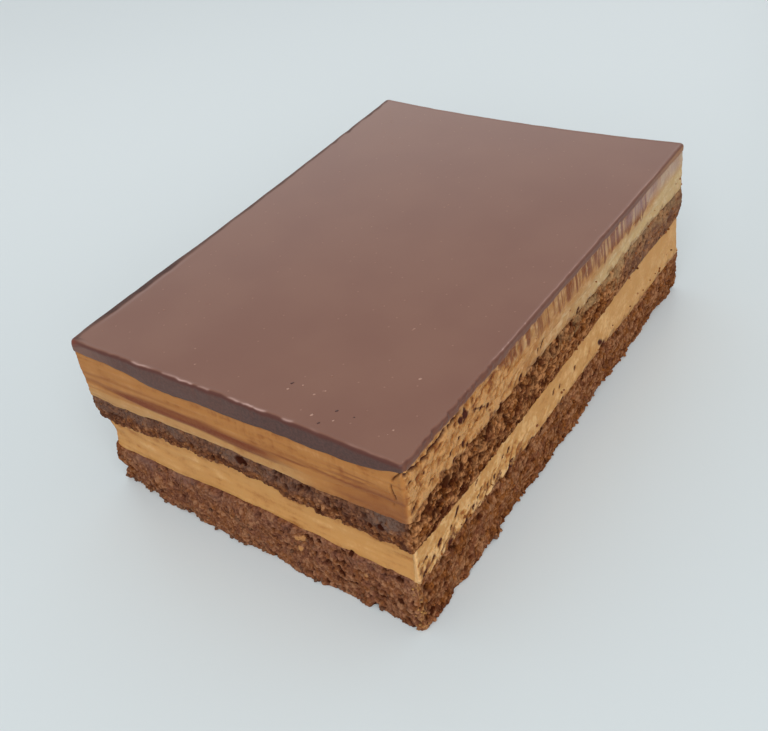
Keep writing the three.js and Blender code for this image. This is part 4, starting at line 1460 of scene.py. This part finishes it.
def lump_mesh(name, centres, ups, sizes, marks, seed):
    """Many small lumps in one mesh, with the same marks all over a lump.

    A lump is a ball of rings, a point of which lies at (cos a sin b, sin a sin b, cos b) times its
    sizes across, along and out, made uneven by noise and turned so that its third direction is
    the way out of the surface under it.
    """
    count = len(centres)
    b = np.repeat(np.arange(1, LUMP_ROWS + 1) / (LUMP_ROWS + 1) * math.pi, LUMP_COLUMNS)
    a = np.tile(np.arange(LUMP_COLUMNS) / LUMP_COLUMNS * 2 * math.pi, LUMP_ROWS)
    ball = np.stack([np.cos(a) * np.sin(b), np.sin(a) * np.sin(b), np.cos(b)], axis=-1)
    ball = np.concatenate([ball, [[0, 0, 1], [0, 0, -1]]])
    apart = 7 * np.arange(count)[:, None]
    uneven = 1 + 0.35 * noise(ball[:, 0] * 1.3 + apart, ball[:, 1] * 1.3, ball[:, 2] * 1.3, seed)
    shape = ball[None] * uneven[..., None] * sizes[:, None]
    across = np.cross(ups, (0.3, 0.5, 0.81))
    across /= np.linalg.norm(across, axis=-1, keepdims=True)
    along = np.cross(ups, across)
    frames = np.stack([across, along, ups], axis=1)
    points = centres[:, None] + shape @ frames
    # A ball's rings run from its top down, so its faces are turned over.
    quads, fans = ring_faces(LUMP_ROWS, LUMP_COLUMNS)
    step = (np.arange(count) * len(ball))[:, None, None]
    quads = (quads[:, [0, 3, 2, 1]] + step).reshape(-1, 4)
    fans = (fans[:, [1, 0, 2]] + step).reshape(-1, 3)
    marks = {mark: np.repeat(values, len(ball)) for mark, values in marks.items()}
    return fill_mesh(name, points.reshape(-1, 3), quads, fans, marks)


CRUMB_CLEARANCE = 1.3  # a crumb's middle is at least so many of its half sizes above the plate
UPRIGHT_BELOW = 0.7  # the way out of an upright surface has less than this of its length upwards
RIGHT_BREADTH = 2  # how far a piece's right side reaches inwards
EDGE_BREADTH = 1.6  # how far the upright edge in front of it reaches back


def picked_places(piece, lowest, highest, where, count, random):
    """Places on a piece's side, in millimetres, and the ways out there.

    They are points of its mesh between two heights, picked at random from all round, from the
    right side or from the upright edge between that and the front.
    """
    points = np.empty(len(piece.data.vertices) * 3, np.float32)
    ways = points.copy()
    piece.data.vertices.foreach_get("co", points)
    piece.data.vertices.foreach_get("normal", ways)
    points = points.reshape(-1, 3).astype(float) / MM
    ways = ways.reshape(-1, 3).astype(float)
    fit = (points[:, 2] > lowest) & (points[:, 2] < highest) & (np.abs(ways[:, 2]) < UPRIGHT_BELOW)
    if where != "round":
        fit = fit & (points[:, 0] > points[:, 0].max() - RIGHT_BREADTH)
    if where == "edge":
        fit = fit & (points[:, 1] < points[:, 1].min() + EDGE_BREADTH)
    chosen = random.choice(np.flatnonzero(fit), count, replace=False)
    return points[chosen], ways[chosen]


# Where crumbs cling: the layer's piece, from what height to what height, round the bar, on the
# right or on the front right edge, how many, and the smallest and the largest half size. The ones
# on the edge are creamy.
CRUMB_GROUPS = (
    ("base_crumb", 0.15, 1.2, "round", 200, 0.15, 0.4),
    ("base_crumb", 1.2, 9.5, "round", 260, 0.12, 0.3),
    ("base_crumb", 0.3, 8.6, "edge", 20, 0.1, 0.22),
    ("middle_crumb", 14.0, 23.5, "round", 220, 0.1, 0.28),
    ("lower_cream_layer", 8.0, 11.0, "right", 26, 0.1, 0.24),
    ("lower_cream_layer", 8.0, 16.0, "right", 3, 0.06, 0.12),
    ("upper_cream_layer", 25.0, 28.0, "right", 3, 0.06, 0.12),
    ("pale_cream_layer", 20.0, 24.6, "right", 12, 0.08, 0.2),
)


def make_crumbs(colours):
    """Crumbs that the knife left clinging to the sides, the middle of each a little off the surface."""
    random = np.random.default_rng(61)
    groups = []
    for piece_name, lowest, highest, where, count, smallest, largest in CRUMB_GROUPS:
        piece = bpy.data.objects.get(piece_name)
        if piece is None:
            raise RuntimeError("the crumbs cling to the layers, so these are made first")
        place, up = picked_places(piece, lowest, highest, where, count, random)
        half = random.uniform(smallest, largest, (count, 1)) * random.uniform(0.7, 1.2, (count, 3))
        creamy = random.uniform(0.3, 0.9, count) * (where == "edge")
        groups.append((place + up * half[:, 2:] * 0.3, up, half, creamy))
    places, ups, sizes, creamy = (np.concatenate(each) for each in zip(*groups))
    places[:, 2] = np.maximum(places[:, 2], CRUMB_CLEARANCE * sizes.max(axis=1))
    tones = random.uniform(0.3, 0.8, len(places))
    in_front = ups[:, 1] < -0.5
    marks = {"tone": tones, "smear": creamy, "film": 0.7 * in_front}
    piece = lump_mesh("clinging_crumbs", places, ups, sizes, marks, 71)
    look = (colours.base_crumb, CRUMBS_FILM, colours.lower_cream, 1.6)
    settle(piece, "sponge", sponge_material("clinging_crumbs", *look))


# Specks in the glaze's top: places along X and Y, half length, and whether light (1) or dark (0).
SPECKS = (
    (24.1, -29.9, 0.2, 1),
    (8.3, -39.8, 0.16, 1),
    (9.8, -38.2, 0.14, 1),
    (13.5, -37.8, 0.14, 1),
    (12.5, -39.1, 0.14, 1),
    (14.8, -42.7, 0.2, 1),
    (18.2, -42.3, 0.14, 1),
    (26.6, -40.2, 0.14, 1),
    (8.1, -38.5, 0.2, 0),
    (16.7, -43.6, 0.16, 0),
    (17.5, -40.5, 0.18, 0),
    (20.4, -40.5, 0.12, 0),
)
FAINT_SPECKS = 60


def make_specks(bar, colours):
    """Bubbles and dust that set in the glaze's top: very flat lumps, drawn out a little."""
    random = np.random.default_rng(67)
    known = np.array(SPECKS)
    x = np.append(known[:, 0], random.uniform(-0.9, 0.9, FAINT_SPECKS) * bar.half_x)
    y = np.append(known[:, 1], random.uniform(-0.93, 0.93, FAINT_SPECKS) * bar.half_y)
    half = np.append(known[:, 2], random.uniform(0.07, 0.13, FAINT_SPECKS))
    tones = np.append(known[:, 3], random.uniform(0.55, 0.8, FAINT_SPECKS))
    centres = np.stack(bar.bend(x, y, np.full(len(x), bar.height - GLAZE_DIP)), axis=-1)
    ups = np.tile((0.0, 0.0, 1.0), (len(x), 1))
    sizes = np.stack([half, half * random.uniform(1.0, 1.8, len(x)), np.full(len(x), 0.05)], axis=-1)
    piece = lump_mesh("glaze_specks", centres, ups, sizes, {"tone": tones}, 73)
    recipe = Recipe("glaze_specks", {"Roughness": 0.5})
    dark = shade(colours.glaze, (0.3, 0.18, 0.18))
    light = shade(colours.glaze, (1.9, 2.4, 2.7))
    tone = recipe.mark("tone")
    rgb = recipe.blend(tone.rise(0.4, 1.0), colours.glaze, light)
    rgb = recipe.blend(tone.rise(0.3, 0.1), rgb, dark)
    settle(piece, "glaze", recipe.finish(Base_Color=rgb))


# ---- Stage ----

CAMERA_PLACE = (90.5, -112.6, 118.3)  # millimetres
CAMERA_AIM = (5.07, -13.58, 15.0)
CAMERA_ROLL = -10.0  # degrees
CAMERA_LENS = 47.335  # millimetres
CAMERA_SENSOR = 36  # millimetres
CAMERA_NEAREST = 0.005  # metres

DAYLIGHT = (0.93, 0.97, 1.0, 1.0)
DAYLIGHT_STRENGTH = 0.58
FLOOR_RADIUS = 3  # metres
LAMP_AIM = (0, 0, 0.015)  # metres
# Soft lamps: name, place, width and height in metres, strength in watts.
LAMPS = (
    ("window", (-0.45, 0.52, 0.28), 0.8, 0.2, 0.45),
    ("room", (0.5, -0.6, 0.6), 0.9, 0.9, 6.5),
)


def aimed(place, aim, roll):
    """A matrix at place that looks at aim and is turned by roll degrees about that line."""
    way = Vector(aim) - Vector(place)
    turn = way.to_track_quat("-Z", "Y").to_matrix().to_4x4()
    return Matrix.Translation(place) @ turn @ Matrix.Rotation(math.radians(roll), 4, "Z")


def make_stage(colours):
    """A pale floor, soft daylight from all round, two large lamps and the camera."""
    scene = bpy.context.scene
    scene.view_settings.view_transform = "Standard"
    world = bpy.data.worlds.new("soft_daylight")
    world.use_nodes = True
    background = world.node_tree.nodes["Background"]
    background.inputs["Color"].default_value = DAYLIGHT
    background.inputs["Strength"].default_value = DAYLIGHT_STRENGTH
    scene.world = world
    bpy.ops.mesh.primitive_circle_add(vertices=96, radius=FLOOR_RADIUS, fill_type="NGON")
    floor = bpy.context.object
    floor.name = "floor"
    china = Recipe("floor", {"Roughness": 0.3, "Specular IOR Level": 0.4})
    china.shader.inputs["Base Color"].default_value = opaque(colours.floor)
    floor.data.materials.append(china.material)
    for name, place, width, height, watts in LAMPS:
        lamp = bpy.data.objects.new(name, bpy.data.lights.new(name, "AREA"))
        lamp.data.shape = "RECTANGLE"
        lamp.data.energy = watts
        lamp.data.size = width
        lamp.data.size_y = height
        lamp.matrix_world = aimed(place, LAMP_AIM, 0)
        scene.collection.objects.link(lamp)
    camera = bpy.data.objects.new("camera", bpy.data.cameras.new("camera"))
    camera.data.lens = CAMERA_LENS
    camera.data.sensor_width = CAMERA_SENSOR
    camera.data.clip_start = CAMERA_NEAREST
    place = Vector(CAMERA_PLACE) * MM
    camera.matrix_world = aimed(place, Vector(CAMERA_AIM) * MM, CAMERA_ROLL)
    scene.collection.objects.link(camera)
    scene.camera = camera


# ---- Operators ----


class CakeOperator:
    """What the cake's operators share: they read the scene's sizes and colours and then make."""

    bl_options = {"REGISTER", "UNDO"}

    def execute(self, context):
        scene = context.scene
        self.make(Bar(scene.opera_cake_sizes), scene.opera_cake_colours)
        return {"FINISHED"}


class OPERACAKE_OT_stage(CakeOperator, bpy.types.Operator):
    """Make the floor, the soft light and the camera"""

    bl_idname = "opera_cake.stage"
    bl_label = "Stage"

    def make(self, bar, colours):
        make_stage(colours)


class OPERACAKE_OT_sponges(CakeOperator, bpy.types.Operator):
    """Make the base sponge and the middle sponge"""

    bl_idname = "opera_cake.sponges"
    bl_label = "Sponges"

    def make(self, bar, colours):
        make_sponges(bar, colours)


class OPERACAKE_OT_creams(CakeOperator, bpy.types.Operator):
    """Make the lower, the pale and the upper coffee cream and the chocolate streak"""

    bl_idname = "opera_cake.creams"
    bl_label = "Creams"

    def make(self, bar, colours):
        make_creams(bar, colours)


class OPERACAKE_OT_glaze(CakeOperator, bpy.types.Operator):
    """Make the poured glaze"""

    bl_idname = "opera_cake.glaze"
    bl_label = "Glaze"

    def make(self, bar, colours):
        make_glaze(bar, colours)


class OPERACAKE_OT_crumbs(CakeOperator, bpy.types.Operator):
    """Make the crumbs that cling to the layers, which are made first"""

    bl_idname = "opera_cake.crumbs"
    bl_label = "Crumbs"

    def make(self, bar, colours):
        make_crumbs(colours)


class OPERACAKE_OT_specks(CakeOperator, bpy.types.Operator):
    """Make the specks in the glaze's top"""

    bl_idname = "opera_cake.specks"
    bl_label = "Specks"

    def make(self, bar, colours):
        make_specks(bar, colours)


MAKERS = (
    OPERACAKE_OT_stage,
    OPERACAKE_OT_sponges,
    OPERACAKE_OT_creams,
    OPERACAKE_OT_glaze,
    OPERACAKE_OT_crumbs,
    OPERACAKE_OT_specks,
)


class OPERACAKE_PT_panel(bpy.types.Panel):
    """Lists the cake's sizes, colours and operators in the 3D view's sidebar"""

    bl_idname = "OPERACAKE_PT_panel"
    bl_label = "Opera Cake"
    bl_space_type = "VIEW_3D"
    bl_region_type = "UI"
    bl_category = "Opera Cake"

    def draw(self, context):
        for group in (context.scene.opera_cake_sizes, context.scene.opera_cake_colours):
            column = self.layout.column(align=True)
            for name in type(group).__annotations__:
                column.prop(group, name)
        for maker in MAKERS:
            self.layout.operator(maker.bl_idname)


CLASSES = (BarSizes, BarColours, *MAKERS, OPERACAKE_PT_panel)


def register():
    for each in CLASSES:
        bpy.utils.register_class(each)
    bpy.types.Scene.opera_cake_sizes = PointerProperty(type=BarSizes)
    bpy.types.Scene.opera_cake_colours = PointerProperty(type=BarColours)


def unregister():
    del bpy.types.Scene.opera_cake_colours
    del bpy.types.Scene.opera_cake_sizes
    for each in reversed(CLASSES):
        bpy.utils.unregister_class(each)


def main():
    register()
    bpy.ops.opera_cake.stage()
    bpy.ops.opera_cake.sponges()
    bpy.ops.opera_cake.creams()
    bpy.ops.opera_cake.glaze()
    bpy.ops.opera_cake.crumbs()
    bpy.ops.opera_cake.specks()


if __name__ == "__main__":
    main()
